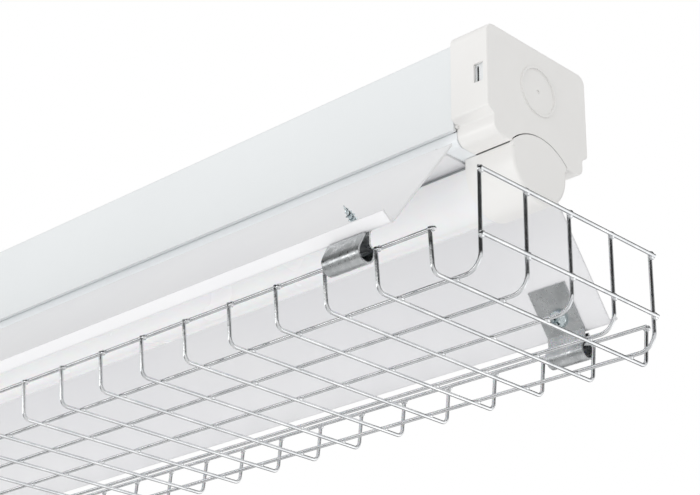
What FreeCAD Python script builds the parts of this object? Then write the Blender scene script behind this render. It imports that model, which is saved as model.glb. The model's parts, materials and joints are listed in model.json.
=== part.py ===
import FreeCAD, Part
import math
import os
import Sketcher
from FreeCAD import Placement, Rotation, Vector

# Batten light with a reflector and a wire guard, hung under a ceiling.
# X runs along the batten, Z points up, and the origin lies on the ceiling plane, midway
# between the two fixing slots. A size whose name ends in depth is measured down from the ceiling.

doc = FreeCAD.newDocument("BattenLight")

SIZES = {
    # Whole fitting
    "batten_length": 609.6,
    "body_depth": 45.6,
    # Spine, the channel that is fixed to the ceiling
    "spine_half": 29.0,
    "spine_sheet": 0.8,
    "spine_drop": 2.8,
    "spine_rise": 5.7,
    "spine_lip": 1.6,
    "spine_bend": 1.6,
    "spine_end_gap": 0.4,
    "spine_notch_rise": 5.8,
    "fixing_inset": 114.8,
    "fixing_slot_half": 3.0,
    "fixing_slot_length": 12.0,
    "fixing_pad_radius": 12.0,
    "entry_run": 40.0,
    "entry_hole_radius": 10.0,
    "latch_slot_width": 1.1,
    "latch_slot_height": 7.0,
    "latch_slot_inset": 5.6,
    "latch_slot_depth": 20.9,
    # Cable grommet
    "grommet_flange": 12.5,
    "grommet_flange_sheet": 1.4,
    "grommet_bore": 5.0,
    "grommet_clearance": 0.1,
    # End caps
    "cap_length": 18.0,
    "cap_side_wall": 1.0,
    "cap_side_gap": 0.2,
    "cap_top_gap": 0.4,
    "cap_face": 1.6,
    "cap_shoulder_rise": 9.6,
    "cap_shoulder_bend": 1.5,
    "cap_step_rise": 7.4,
    "cap_skirt_inset": 0.2,
    "cap_corner": 4.0,
    "cap_skirt_corner": 4.0,
    "cap_edge": 0.6,
    "cap_gap": 0.1,
    "cap_tongue": 2.0,
    "cap_tongue_gap": 0.3,
    "cap_inner_drop": 0.3,
    "window_inset": 2.3,
    "window_width": 4.4,
    "window_height": 8.0,
    "window_depth": 20.7,
    "ring_depth": 18.6,
    "ring_radius": 10.0,
    "ring_width": 0.9,
    "ring_height": 0.7,
    "dimple_radius": 0.8,
    "dimple_sink": 0.4,
    # Gear tray
    "tray_gap": 0.4,
    "tray_sheet": 0.8,
    "tray_side": 15.0,
    "tray_bend": 3.0,
    # Saddles that carry the tray inside the spine
    "saddle_inset": 69.8,
    "saddle_width": 16.0,
    "saddle_side_gap": 2.2,
    "saddle_sheet": 1.2,
    "saddle_foot": 8.0,
    "saddle_bend": 2.0,
    "saddle_screw_inset": 3.5,
    # Machine screws
    "m4_radius": 1.9,
    "m4_clearance": 0.3,
    "m4_thread_gap": 0.05,
    "m4_head_radius": 4.0,
    "m4_head_height": 2.4,
    "m4_stick_out": 1.6,
    "m3_radius": 1.45,
    "m3_clearance": 0.15,
    "m3_thread_gap": 0.05,
    "m3_stick_out": 0.8,
    "m3_head_radius": 2.8,
    "m3_head_height": 1.8,
    "m3_nut_radius": 3.1,
    "m3_nut_height": 2.4,
    "recess_width": 1.0,
    # Light engine
    "carrier_end_gap": 4.0,
    "carrier_flange": 1.9,
    "carrier_flange_inset": 2.0,
    "carrier_side_gap": 0.4,
    "carrier_web": 1.7,
    "carrier_screw_inset": 5.4,
    "board_side_gap": 2.6,
    "board_sheet": 1.6,
    "board_gap": 1.0,
    "board_screw_clear": 5.2,
    "board_screw_inset": 6.0,
    "board_screw_grip": 3.2,
    "led_pitch": 9.0,
    "led_length": 3.5,
    "led_width": 2.8,
    "led_height": 0.7,
    "board_plug_run": 7.0,
    "board_plug_length": 9.0,
    "board_plug_width": 7.0,
    "board_plug_height": 3.6,
    # Diffuser and its caps
    "diffuser_end_gap": 3.0,
    "diffuser_radius": 14.2,
    "diffuser_wall": 1.2,
    "diffuser_shoulder": 1.3,
    "diffuser_lip": 1.4,
    "diffuser_rail_gap": 0.4,
    "lens_cap_length": 23.4,
    "lens_cap_side_gap": 0.3,
    "lens_cap_wall": 1.6,
    "lens_cap_face": 1.6,
    "lens_cap_gap": 0.2,
    "lens_cap_edge": 1.5,
    "lens_boss_half": 6.0,
    "lens_boss_height": 4.5,
    "arch_rise": 7.0,
    "arch_crown": 6.5,
    "arch_gap": 0.45,
    # Reflector
    "reflector_sheet": 0.8,
    "reflector_half": 64.0,
    "reflector_drop": 45.4,
    "reflector_end_inset": 17.0,
    "reflector_notch_gap": 2.0,
    "reflector_notch_reach": 1.2,
    "reflector_shoulder": 3.2,
    "reflector_lip": 6.0,
    "reflector_bend": 1.4,
    # Wire guard
    "mesh_pitch": 25.4,
    "wire_diameter": 1.6,
    "rim_inset": 2.0,
    "rim_drop": 6.4,
    "row_inset": 11.2,
    "guard_side": 15.8,
    "side_lean": 1.7,
    "side_bend": 3.2,
    "end_offset": 12.9,
    "end_bend": 8.0,
    "end_low_rise": 13.6,
    "end_top_rise": 38.7,
    "wire_stub": 0.3,
    "cross_stub": 0.4,
    # Guard clips and their self-tapping screws
    "clip_side_gap": 2.8,
    "clip_sheet": 0.8,
    "clip_gap": 0.2,
    "clip_plate": 20.5,
    "clip_leg_inset": 1.4,
    "clip_bend": 1.5,
    "clip_pinch": 2.0,
    "clip_loop": 3.9,
    "clip_hang": 1.0,
    "clip_tip_gap": 0.3,
    "clip_screw_gap": 2.2,
    "tapper_radius": 1.95,
    "tapper_clearance": 0.05,
    "tapper_length": 11.0,
    "tapper_tip": 4.5,
    "tapper_head_radius": 4.0,
    "tapper_head_height": 2.6,
    # Driver
    "driver_run": 40.0,
    "driver_length": 150.0,
    "driver_width": 30.0,
    "driver_height": 21.0,
    "driver_wall": 1.2,
    "driver_lid": 1.2,
    "driver_ear": 9.0,
    "driver_board_gap": 1.0,
    "driver_board_rise": 3.0,
    "driver_board_sheet": 1.6,
    "coil_length": 18.0,
    "coil_width": 16.0,
    "coil_height": 13.0,
    "can_radius": 5.0,
    "can_height": 14.0,
    "plug_length": 12.0,
    "plug_width": 16.0,
    "plug_way_depth": 5.0,
    # Terminal block and earth stud
    "block_run": 95.0,
    "block_length": 18.0,
    "block_width": 34.0,
    "block_height": 15.0,
    "block_side_gap": 0.4,
    "block_ear_sheet": 1.6,
    "pole_pitch": 10.0,
    "pole_bore": 2.0,
    "pole_screw_radius": 2.2,
    "pole_screw_sink": 1.2,
    "pole_slot_depth": 1.2,
    "earth_run": 50.0,
    "earth_stud_radius": 2.0,
    "earth_stud_height": 12.0,
    "earth_nut_radius": 4.0,
    "earth_nut_height": 3.2,
    "earth_tag_radius": 4.2,
    "earth_tag_sheet": 0.8,
    "earth_tag_length": 14.0,
    # Leads
    "lead_radius": 1.1,
    "lead_bend": 9.0,
    "lead_hole_inset": 79.8,
    "lead_hole_radius": 4.0,
    "lead_half_gap": 2.0,
    "lead_grip": 6.0,
    "lead_clearance": 0.3,
    "lead_sag": 18.0,
    "earth_bend": 4.5,
    "led_lead_bend": 3.0,
    "bush_collar": 1.4,
    # How far cuts run past a face, and how far joined solids reach into each other
    "overrun": 5.0,
    "nudge": 0.02,
}

DERIVED = {
    "half_length": "=batten_length / 2",
    # Spine
    "spine_depth": "=body_depth - spine_rise",
    "spine_length": "=batten_length - 2 * cap_face - 2 * spine_end_gap",
    "spine_inner_half": "=spine_half - spine_sheet",
    "spine_lip_half": "=spine_half - spine_lip",
    "spine_inner_depth": "=spine_drop + spine_sheet",
    "spine_lip_depth": "=spine_depth - spine_sheet",
    "spine_inner_bend": "=spine_bend - spine_sheet",
    "spine_notch_depth": "=spine_depth - spine_notch_rise",
    "spine_notch_start": "=half_length - cap_length - cap_gap",
    "fixing_place": "=half_length - fixing_inset",
    "fixing_pad_inner": "=fixing_pad_radius - spine_sheet",
    "fixing_arc_place": "=fixing_slot_length / 2 - fixing_slot_half",
    "latch_far": "=half_length - latch_slot_inset + latch_slot_width / 2",
    "latch_near": "=latch_far - latch_slot_width",
    "latch_top": "=latch_slot_depth - latch_slot_height / 2",
    "latch_bottom": "=latch_slot_depth + latch_slot_height / 2",
    # Gear tray and saddles
    "tray_half": "=spine_lip_half - tray_gap",
    "tray_length": "=batten_length - 2 * cap_length - 2 * cap_gap",
    "tray_inner_half": "=tray_half - tray_sheet",
    "tray_floor_depth": "=body_depth - tray_sheet",
    "tray_top_depth": "=body_depth - tray_side",
    "tray_inner_bend": "=tray_bend - tray_sheet",
    "tray_notch_start": "=cap_tongue_start - cap_tongue_gap",
    "saddle_place": "=half_length - saddle_inset",
    "saddle_half": "=tray_inner_half - saddle_side_gap",
    "tray_screw_half": "=saddle_half - saddle_screw_inset",
    # End caps
    "cap_start": "=half_length - cap_length",
    "cap_cavity_half": "=spine_half + cap_side_gap",
    "cap_half": "=cap_cavity_half + cap_side_wall",
    "cap_top_wall": "=spine_drop - cap_top_gap",
    "cap_shoulder_depth": "=body_depth - cap_shoulder_rise",
    "cap_step_depth": "=body_depth - cap_step_rise",
    "cap_skirt_half": "=tray_half - cap_skirt_inset",
    "cap_cavity_skirt": "=cap_skirt_half - cap_side_wall",
    "cap_cavity_depth": "=body_depth - cap_side_wall",
    "cap_cavity_length": "=cap_length - cap_face",
    "cap_inner_corner": "=cap_skirt_corner - cap_side_wall",
    "cap_tongue_start": "=cap_start - cap_tongue",
    "cap_tongue_low": "=spine_lip_depth - cap_tongue_gap",
    "cap_tongue_high": "=(cap_shoulder_depth + cap_step_depth) / 2",
    "cap_tongue_half": "=spine_inner_half - cap_tongue_gap",
    "cap_shoulder_inner": "=cap_shoulder_depth - cap_inner_drop",
    "cap_step_inner": "=cap_step_depth - cap_inner_drop",
    "window_far": "=half_length - window_inset",
    "window_near": "=window_far - window_width",
    "window_top": "=window_depth - window_height / 2",
    "window_bottom": "=window_depth + window_height / 2",
    "ring_outer": "=ring_radius + ring_width / 2",
    "ring_inner": "=ring_radius - ring_width / 2",
    # Screws
    "m4_hole": "=m4_radius + m4_clearance",
    "m4_tapped": "=m4_radius + m4_thread_gap",
    "m4_length": "=reflector_sheet + tray_sheet + saddle_sheet + m4_stick_out",
    "m3_hole": "=m3_radius + m3_clearance",
    "m3_tapped": "=m3_radius + m3_thread_gap",
    "m3_length": "=carrier_depth - tray_floor_depth + m3_nut_height + m3_stick_out",
    "tapper_hole": "=tapper_radius + tapper_clearance",
    # Diffuser, in rails of the light engine's carrier
    "carrier_top_depth": "=body_depth + reflector_sheet",
    "carrier_flange_depth": "=carrier_top_depth + carrier_flange",
    "carrier_groove_depth": "=carrier_flange_depth + diffuser_wall + 2 * diffuser_rail_gap",
    "carrier_depth": "=carrier_groove_depth + carrier_web",
    "diffuser_length": "=batten_length - 2 * diffuser_end_gap",
    "diffuser_inner": "=diffuser_radius - diffuser_wall",
    "diffuser_lip_half": "=diffuser_inner - diffuser_lip",
    "diffuser_top_depth": "=carrier_flange_depth + diffuser_rail_gap",
    "diffuser_centre_depth": "=diffuser_top_depth + diffuser_shoulder",
    "diffuser_lip_depth": "=diffuser_top_depth + diffuser_wall",
    "diffuser_open_depth": "=diffuser_top_depth - overrun",
    # Light engine
    "carrier_length": "=batten_length - 2 * carrier_end_gap",
    "carrier_flange_half": "=diffuser_radius - carrier_flange_inset",
    "carrier_groove_half": "=diffuser_lip_half - carrier_side_gap",
    "carrier_half": "=diffuser_inner - carrier_side_gap",
    "carrier_screw_place": "=half_length - reflector_notch_inset - carrier_screw_inset",
    "board_half": "=carrier_half - board_side_gap",
    "board_width": "=2 * board_half",
    "board_depth": "=carrier_depth + board_sheet",
    "board_start": "=board_gap / 2",
    "board_length": "=carrier_screw_place - board_screw_clear - board_start",
    "board_screw_near": "=board_start + board_screw_inset",
    "board_screw_far": "=board_start + board_length - board_screw_inset",
    "board_screw_half": "=board_half - m3_head_radius - m3_clearance",
    "board_screw_hole": "=board_screw_grip + m3_stick_out",
    "board_screw_length": "=board_sheet + board_screw_grip",
    # Diffuser caps, whose arched tongue shows in a notch of the end cap
    "lens_cap_inner": "=diffuser_radius + lens_cap_side_gap",
    "lens_cap_radius": "=lens_cap_inner + lens_cap_wall",
    "lens_cap_start": "=half_length - lens_cap_length",
    "lens_cap_top_depth": "=body_depth + lens_cap_gap",
    "lens_cap_open_depth": "=body_depth - overrun",
    "lens_cap_cavity": "=lens_cap_length - lens_cap_face",
    "lens_cap_face_start": "=half_length - lens_cap_face",
    "lens_boss_length": "=carrier_end_gap - lens_cap_face",
    "lens_boss_start": "=half_length - carrier_end_gap",
    "lens_boss_low_depth": "=carrier_top_depth + lens_boss_height",
    "tongue_half": "=lens_cap_radius - nudge",
    "tongue_foot_depth": "=lens_cap_top_depth + lens_cap_wall",
    "arch_radius": "=(tongue_half * tongue_half + arch_crown * arch_crown) / (2 * arch_crown)",
    "arch_centre_depth": "=body_depth - arch_rise + arch_radius",
    "notch_radius": "=arch_radius + arch_gap",
    "notch_half": "=lens_cap_radius + arch_gap",
    "notch_foot_depth": "=body_depth + overrun",
    # Reflector
    "reflector_length": "=batten_length - 2 * reflector_end_inset",
    "reflector_depth": "=body_depth + reflector_drop",
    "reflector_base_depth": "=body_depth + reflector_sheet",
    "reflector_inner_bend": "=reflector_bend - reflector_sheet",
    "reflector_notch_inset": "=lens_cap_length + reflector_notch_gap",
    "reflector_notch_start": "=half_length - reflector_notch_inset",
    "shoulder_inner_half": "=cap_skirt_half + reflector_shoulder",
    "reflector_notch_half": "=shoulder_inner_half + reflector_notch_reach",
    "wing_run": "=reflector_half - shoulder_inner_half",
    "wing_rise": "=reflector_depth - reflector_base_depth",
    "wing_length": "=sqrt(wing_run * wing_run + wing_rise * wing_rise)",
    "wing_sin": "=wing_rise / wing_length",
    "wing_cos": "=wing_run / wing_length",
    "lip_tip_half": "=reflector_half + reflector_lip * wing_sin",
    "lip_tip_depth": "=reflector_depth - reflector_lip * wing_cos",
    "lip_top_half": "=lip_tip_half - reflector_sheet * wing_cos",
    "lip_top_depth": "=lip_tip_depth - reflector_sheet * wing_sin",
    "fold_inner_half": "=reflector_half + reflector_sheet * (wing_sin - wing_cos)",
    "fold_inner_depth": "=reflector_depth - reflector_sheet * (wing_sin + wing_cos)",
    "shoulder_reach": "=(reflector_depth - reflector_sheet * wing_cos - body_depth) * wing_cos / wing_sin",
    "shoulder_half": "=reflector_half + reflector_sheet * wing_sin - shoulder_reach",
    # Wire guard
    "rim_half": "=reflector_half - rim_inset",
    "rim_depth": "=reflector_depth + rim_drop",
    "guard_depth": "=rim_depth + guard_side",
    "wire_radius": "=wire_diameter / 2",
    "wire_pitch": "=batten_length / round(batten_length / mesh_pitch)",
    "row_half": "=rim_half - row_inset",
    "row_spaces": "=round(2 * row_half / mesh_pitch)",
    # Guard clips, midway between the first two cross wires
    "clip_place": "=half_length - wire_pitch - wire_pitch / 2",
    "clip_width": "=wire_pitch - wire_diameter - 2 * clip_side_gap",
    "clip_leg_half": "=reflector_half - clip_leg_inset",
    "clip_loop_reach": "=clip_loop - clip_sheet / 2 - wire_radius - clip_gap",
    "clip_loop_half": "=rim_half + sqrt(clip_loop_reach ^ 2 - clip_hang ^ 2)",
    "clip_loop_depth": "=rim_depth + clip_hang",
    "clip_corner_rise": "=(clip_leg_inset - clip_sheet / 2 * wing_sin) / wing_cos",
    "clip_bend_reach": "=clip_bend * (1 - wing_sin) / wing_cos",
    "clip_bend_rise": "=clip_corner_rise + clip_bend_reach",
    "clip_screw_rise": "=clip_bend_rise + tapper_head_radius + clip_screw_gap",
    # Driver, terminal block and earth stud, each a run along from the one before
    "lead_hole_place": "=half_length - lead_hole_inset",
    "driver_end": "=lead_hole_place - driver_run",
    "driver_start": "=driver_end - driver_length",
    "driver_place": "=driver_end - driver_length / 2",
    "driver_half": "=driver_width / 2",
    "driver_ear_half": "=driver_ear / 2",
    "driver_screw_near": "=driver_start - driver_ear_half",
    "driver_screw_far": "=driver_end + driver_ear_half",
    "driver_top_depth": "=tray_floor_depth - driver_height",
    "driver_inner_length": "=driver_length - 2 * driver_wall",
    "driver_inner_width": "=driver_width - 2 * driver_wall",
    "driver_inner_height": "=driver_height - driver_wall",
    "plug_end": "=driver_wall + plug_length",
    "plug_half_width": "=plug_width / 2",
    "driver_spacer_near": "=driver_start + plug_end + driver_ear",
    "driver_spacer_far": "=driver_end - plug_end - 2 * driver_ear",
    "driver_board_length": "=driver_length - 2 * plug_end",
    "driver_board_half": "=driver_inner_width / 2 - driver_board_gap",
    "driver_board_width": "=2 * driver_board_half",
    "driver_plug_depth": "=driver_top_depth + plug_way_depth",
    "driver_window_half": "=lead_half_gap + lead_radius + lead_clearance",
    "driver_window_width": "=2 * driver_window_half",
    "driver_window_height": "=2 * lead_radius + 2 * lead_clearance",
    "driver_plug_low": "=driver_plug_depth + lead_radius + lead_clearance",
    "coil_half_width": "=coil_width / 2",
    "gear_screw_length": "=driver_wall + tray_sheet",
    "block_place": "=driver_start - block_run",
    "block_start": "=block_place - block_length / 2",
    "block_half_width": "=block_width / 2",
    "block_ear": "=tray_half - tray_bend - block_half_width - block_side_gap",
    "block_ear_half": "=block_ear / 2",
    "block_screw_half": "=block_half_width + block_ear_half",
    "block_full_width": "=block_width + 2 * block_ear",
    "pole_depth": "=tray_floor_depth - block_height / 2",
    "earth_place": "=block_place - earth_run",
    "entry_place": "=block_place + entry_run",
    "lead_diameter": "=2 * lead_radius",
    # Plug on the board, where no LED stands
    "board_plug_start": "=lead_hole_place + board_plug_run",
    "board_plug_half": "=board_plug_width / 2",
    "board_plug_low": "=board_depth + board_plug_height",
    "plug_clear_start": "=lead_hole_place - lead_hole_radius - led_length",
    "plug_clear_end": "=board_plug_start + board_plug_length + led_length",
}

# A screw head's rounding and recess as shares of its height, and the recess's span as a share
# of the head's diameter
HEAD_ROUND_SHARE = 0.6
RECESS_DEPTH_SHARE = 0.6
RECESS_SPAN_SHARE = 0.55

SIDES = (-1, 1)
ENDS = (-1, 1)
POLES = (-1, 0, 1)
CAN_STEPS = (-2, -1, 2)

NODES = []

sheet = doc.addObject("Spreadsheet::Sheet", "Sizes")
for row, (alias, number) in enumerate(list(SIZES.items()) + list(DERIVED.items()), start=1):
    sheet.set(f"A{row}", alias)
    sheet.set(f"B{row}", str(number))
    sheet.setAlias(f"B{row}", alias)
doc.recompute()


def size(name):
    """The value of one named cell."""
    return float(sheet.get(name))


def words(text):
    """Splits a sum of named sizes, such as 'cap_half - cap_side_wall', into signed names."""
    sign = 1
    for word in text.split():
        if word in ("+", "-"):
            sign = 1 if word == "+" else -1
            continue
        if word.startswith("-"):
            sign, word = -sign, word[1:]
        yield sign, word
        sign = 1


def amount(text):
    """The value of a sum of named sizes."""
    return sum(sign * size(name) for sign, name in words(text) if name != "0")


def formula(text):
    """The same sum as an expression that binds a property to the sheet."""
    terms = [("- " if sign < 0 else "+ ") + "Sizes." + name for sign, name in words(text) if name != "0"]
    return " ".join(terms).lstrip("+ ") or "0"


# Drawing helpers


def node(item, label):
    """Marks a finished piece, whose label is its node's name."""
    item.Label = label
    NODES.append(item)
    return item


def new_body(name):
    return doc.addObject("PartDesign::Body", name)


def new_sketch(body, plane, offset="0"):
    """A sketch on one of the body's own origin planes, moved along that plane's normal."""
    sketch = body.newObject("Sketcher::SketchObject", body.Name + "Sketch")
    support = [item for item in body.Origin.OriginFeatures if item.Role == plane][0]
    sketch.AttachmentSupport = [(support, "")]
    sketch.MapMode = "FlatFace"
    if offset != "0":
        sketch.setExpression(".AttachmentOffset.Base.z", formula(offset))
    return sketch


def bind_point(sketch, curve, end, across, up):
    """Ties one point of a sketch curve to two named places."""
    for kind, axis, text in (("DistanceX", -2, across), ("DistanceY", -1, up)):
        if text == "0":
            sketch.addConstraint(Sketcher.Constraint("PointOnObject", curve, end, axis))
            continue
        rule = sketch.addConstraint(Sketcher.Constraint(kind, -1, 1, curve, end, amount(text)))
        sketch.setExpression(f"Constraints[{rule}]", formula(text))


def bind_radius(sketch, curve, text):
    rule = sketch.addConstraint(Sketcher.Constraint("Radius", curve, amount(text)))
    sketch.setExpression(f"Constraints[{rule}]", formula(text))


def draw_polygon(sketch, corners):
    """A closed outline through corners given as pairs of named places."""
    first = sketch.GeometryCount
    places = [Vector(amount(across), amount(up), 0) for across, up in corners]
    for start, finish in zip(places, places[1:] + places[:1]):
        sketch.addGeometry(Part.LineSegment(start, finish), False)
    for index in range(len(corners)):
        after = (index + 1) % len(corners)
        sketch.addConstraint(Sketcher.Constraint("Coincident", first + index, 2, first + after, 1))
    for index, (across, up) in enumerate(corners):
        bind_point(sketch, first + index, 1, across, up)


def draw_rectangle(sketch, left, right, low, high):
    draw_polygon(sketch, [(left, low), (right, low), (right, high), (left, high)])


def draw_circle(sketch, across, up, radius):
    centre = Vector(amount(across), amount(up), 0)
    curve = sketch.addGeometry(Part.Circle(centre, Vector(0, 0, 1), amount(radius)), False)
    bind_point(sketch, curve, 3, across, up)
    bind_radius(sketch, curve, radius)


def draw_arc(sketch, centre, radius, start, finish):
    circle = Part.Circle(centre, Vector(0, 0, 1), radius)
    return sketch.addGeometry(Part.ArcOfCircle(circle, math.radians(start), math.radians(finish)), False)


def draw_slot(sketch, left, right, radius):
    """A slot along the sketch's first axis, between two arc centres on that axis."""
    reach = amount(radius)
    centres = [Vector(amount(left), 0, 0), Vector(amount(right), 0, 0)]
    first = draw_arc(sketch, centres[0], reach, 90, 270)
    second = draw_arc(sketch, centres[1], reach, 270, 450)
    lift = Vector(0, reach, 0)
    low = sketch.addGeometry(Part.LineSegment(centres[0] - lift, centres[1] - lift), False)
    high = sketch.addGeometry(Part.LineSegment(centres[1] + lift, centres[0] + lift), False)
    bind_point(sketch, first, 3, left, "0")
    bind_point(sketch, second, 3, right, "0")
    bind_radius(sketch, first, radius)
    sketch.addConstraint(Sketcher.Constraint("Equal", first, second))
    for one, one_end, other, other_end in ((first, 2, low, 1), (low, 2, second, 1),
                                           (second, 2, high, 1), (high, 2, first, 1)):
        sketch.addConstraint(Sketcher.Constraint("Tangent", one, one_end, other, other_end))


def draw_trough(sketch, radius, centre, top):
    """A U outline: a half circle below its centre and straight sides up to a flat top."""
    reach, middle, height = amount(radius), amount(centre), amount(top)
    bowl = draw_arc(sketch, Vector(0, middle, 0), reach, 180, 360)
    places = ((reach, middle), (reach, height), (-reach, height), (-reach, middle))
    corners = [Vector(across, up, 0) for across, up in places]
    right, lid, left = [sketch.addGeometry(Part.LineSegment(start, finish), False)
                        for start, finish in zip(corners, corners[1:])]
    bind_point(sketch, bowl, 3, "0", centre)
    bind_radius(sketch, bowl, radius)
    sketch.addConstraint(Sketcher.Constraint("Tangent", bowl, 2, right, 1))
    sketch.addConstraint(Sketcher.Constraint("Tangent", bowl, 1, left, 2))
    sketch.addConstraint(Sketcher.Constraint("Coincident", right, 2, lid, 1))
    sketch.addConstraint(Sketcher.Constraint("Coincident", lid, 2, left, 1))
    sketch.addConstraint(Sketcher.Constraint("Horizontal", lid))
    rule = sketch.addConstraint(Sketcher.Constraint("DistanceY", -1, 1, lid, 1, height))
    sketch.setExpression(f"Constraints[{rule}]", formula(top))


def draw_arch(sketch, half, radius, centre, foot):
    """An outline with an arched top, straight sides and a flat foot."""
    reach, curve, middle, low = amount(half), amount(radius), amount(centre), amount(foot)
    rise = middle + math.sqrt(curve ** 2 - reach ** 2)
    start = math.degrees(math.acos(reach / curve))
    arch = draw_arc(sketch, Vector(0, middle, 0), curve, start, 180 - start)
    places = ((-reach, rise), (-reach, low), (reach, low), (reach, rise))
    corners = [Vector(across, up, 0) for across, up in places]
    left, base, right = [sketch.addGeometry(Part.LineSegment(begin, finish), False)
                         for begin, finish in zip(corners, corners[1:])]
    bind_point(sketch, arch, 3, "0", centre)
    bind_radius(sketch, arch, radius)
    sketch.addConstraint(Sketcher.Constraint("Coincident", arch, 2, left, 1))
    sketch.addConstraint(Sketcher.Constraint("Coincident", left, 2, base, 1))
    sketch.addConstraint(Sketcher.Constraint("Coincident", base, 2, right, 1))
    sketch.addConstraint(Sketcher.Constraint("Coincident", right, 2, arch, 1))
    bind_point(sketch, base, 1, "-" + half, foot)
    bind_point(sketch, base, 2, half, foot)
    sketch.addConstraint(Sketcher.Constraint("Vertical", left))
    sketch.addConstraint(Sketcher.Constraint("Vertical", right))


def pad(body, sketch, length, symmetric=False):
    feature = body.newObject("PartDesign::Pad", body.Name + "Pad")
    feature.Profile = sketch
    feature.setExpression("Length", formula(length))
    feature.SideType = "Symmetric" if symmetric else "One side"
    doc.recompute()
    return feature


def pocket(body, sketch, length=None, reverse=False, symmetric=False):
    """Cuts a sketch out of the body, and stops the build if nothing was cut."""
    before = body.Tip.Shape.Volume
    feature = body.newObject("PartDesign::Pocket", body.Name + "Pocket")
    feature.Profile = sketch
    feature.SideType = "Symmetric" if symmetric else "One side"
    feature.Reversed = reverse
    if length is None:
        feature.Type = "ThroughAll"
    else:
        feature.setExpression("Length", formula(length))
    doc.recompute()
    if not feature.Shape.Volume < before:
        raise RuntimeError(f"{feature.Name} cuts nothing")
    return feature


def runs_along_x(edge, across, up):
    """True for an edge that runs along X through the given Y and Z."""
    ends = [vertex.Point for vertex in edge.Vertexes]
    if len(ends) != 2 or abs(ends[0].x - ends[1].x) < size("overrun"):
        return False
    return all(abs(end.y - across) < size("nudge") and abs(end.z - up) < size("nudge") for end in ends)


def round_edges(body, radius, wanted):
    """Rounds the edges of the body for which the test holds."""
    base = body.Tip
    names = [f"Edge{index}" for index, edge in enumerate(base.Shape.Edges, start=1) if wanted(edge)]
    if not names:
        raise RuntimeError(f"{body.Name} has no such edge to round")
    feature = body.newObject("PartDesign::Fillet", body.Name + "Fillet")
    feature.Base = (base, names)
    feature.setExpression("Radius", formula(radius))
    doc.recompute()
    return feature


def round_folds(body, radius, places):
    """Rounds folds that run along X at the given places, on both sides of the middle."""
    spots = [(side * amount(across), amount(up)) for across, up in places for side in SIDES]
    round_edges(body, radius, lambda edge: any(runs_along_x(edge, across, up) for across, up in spots))


def place_item(item, place):
    """Binds the place of a primitive to the sheet."""
    for axis, text in zip("xyz", place):
        if text != "0":
            item.setExpression(f"Placement.Base.{axis}", formula(text))


def box(name, low, lengths):
    """A plain box whose low corner and lengths are bound to the sheet."""
    item = doc.addObject("Part::Box", name)
    place_item(item, low)
    for side, text in zip(("Length", "Width", "Height"), lengths):
        item.setExpression(side, formula(text))
    return item


def cylinder(name, radius, height, place=("0", "0", "0")):
    """A plain upright cylinder bound to the sheet."""
    item = doc.addObject("Part::Cylinder", name)
    item.setExpression("Radius", formula(radius))
    item.setExpression("Height", formula(height))
    place_item(item, place)
    return item


def prism(name, radius, height, place):
    item = doc.addObject("Part::Prism", name)
    item.Polygon = 6
    item.setExpression("Circumradius", formula(radius))
    item.setExpression("Height", formula(height))
    place_item(item, place)
    return item


def cut(name, base, tools):
    """The base less its tools."""
    tool = doc.addObject("Part::Compound", name + "Tools")
    tool.Links = tools
    item = doc.addObject("Part::Cut", name)
    item.Base = base
    item.Tool = tool
    doc.recompute()
    if not item.Shape.Volume < base.Shape.Volume:
        raise RuntimeError(f"{name} cuts nothing")
    return item


def fuse(name, shapes):
    item = doc.addObject("Part::MultiFuse", name)
    item.Shapes = shapes
    item.Refine = True
    doc.recompute()
    return item


def group(name, solids):
    """A set of separate solids that share one node."""
    item = doc.addObject("Part::Feature", name)
    item.Shape = Part.makeCompound(solids)
    return item


def copies(master, spots):
    """The master's shape at each spot, for a group of identical fasteners or parts."""
    solids = []
    for spot in spots:
        solid = master.Shape.copy()
        solid.Placement = spot.multiply(master.Shape.Placement)
        solids.append(solid)
    return solids


def shift(across, along, up, turn=None):
    return Placement(Vector(across, along, up), turn or Rotation())


def mirrored(name, source, normal):
    """The mirror image of a piece in the plane through the origin with the given normal."""
    item = doc.addObject("Part::Mirroring", name)
    item.Source = source
    item.Normal = normal
    doc.recompute()
    return item


# Paths of wires and ribbons


def rounded_path(points, radius):
    """Straight runs between points, joined by tangent arcs of one radius."""
    edges = []
    start = points[0]
    for before, corner, after in zip(points, points[1:], points[2:]):
        inward = (corner - before).normalize()
        outward = (after - corner).normalize()
        turn = inward.getAngle(outward)
        reach = radius * math.tan(turn / 2)
        centre = corner + (outward - inward).normalize() * (radius / math.cos(turn / 2))
        middle = centre + (corner - centre).normalize() * radius
        bend_start, bend_end = corner - inward * reach, corner + outward * reach
        edges.append(Part.LineSegment(start, bend_start).toShape())
        edges.append(Part.Arc(bend_start, middle, bend_end).toShape())
        start = bend_end
    edges.append(Part.LineSegment(start, points[-1]).toShape())
    return Part.Wire(edges)


def tube(points, bend, radius):
    """A round wire along straight runs and bends, as one solid."""
    path = rounded_path(points, bend)
    heading = points[1] - points[0]
    ring = Part.Wire(Part.Circle(points[0], heading, radius).toShape())
    solid = path.makePipeShell([ring], True, False)
    if abs(solid.Volume - math.pi * radius ** 2 * path.Length) > path.Length * size("nudge"):
        raise RuntimeError("a wire's volume isn't its section times its length")
    return solid


def on_circle(centre, radius, degrees):
    angle = math.radians(degrees)
    return Vector(centre.x, centre.y + radius * math.cos(angle), centre.z + radius * math.sin(angle))


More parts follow.
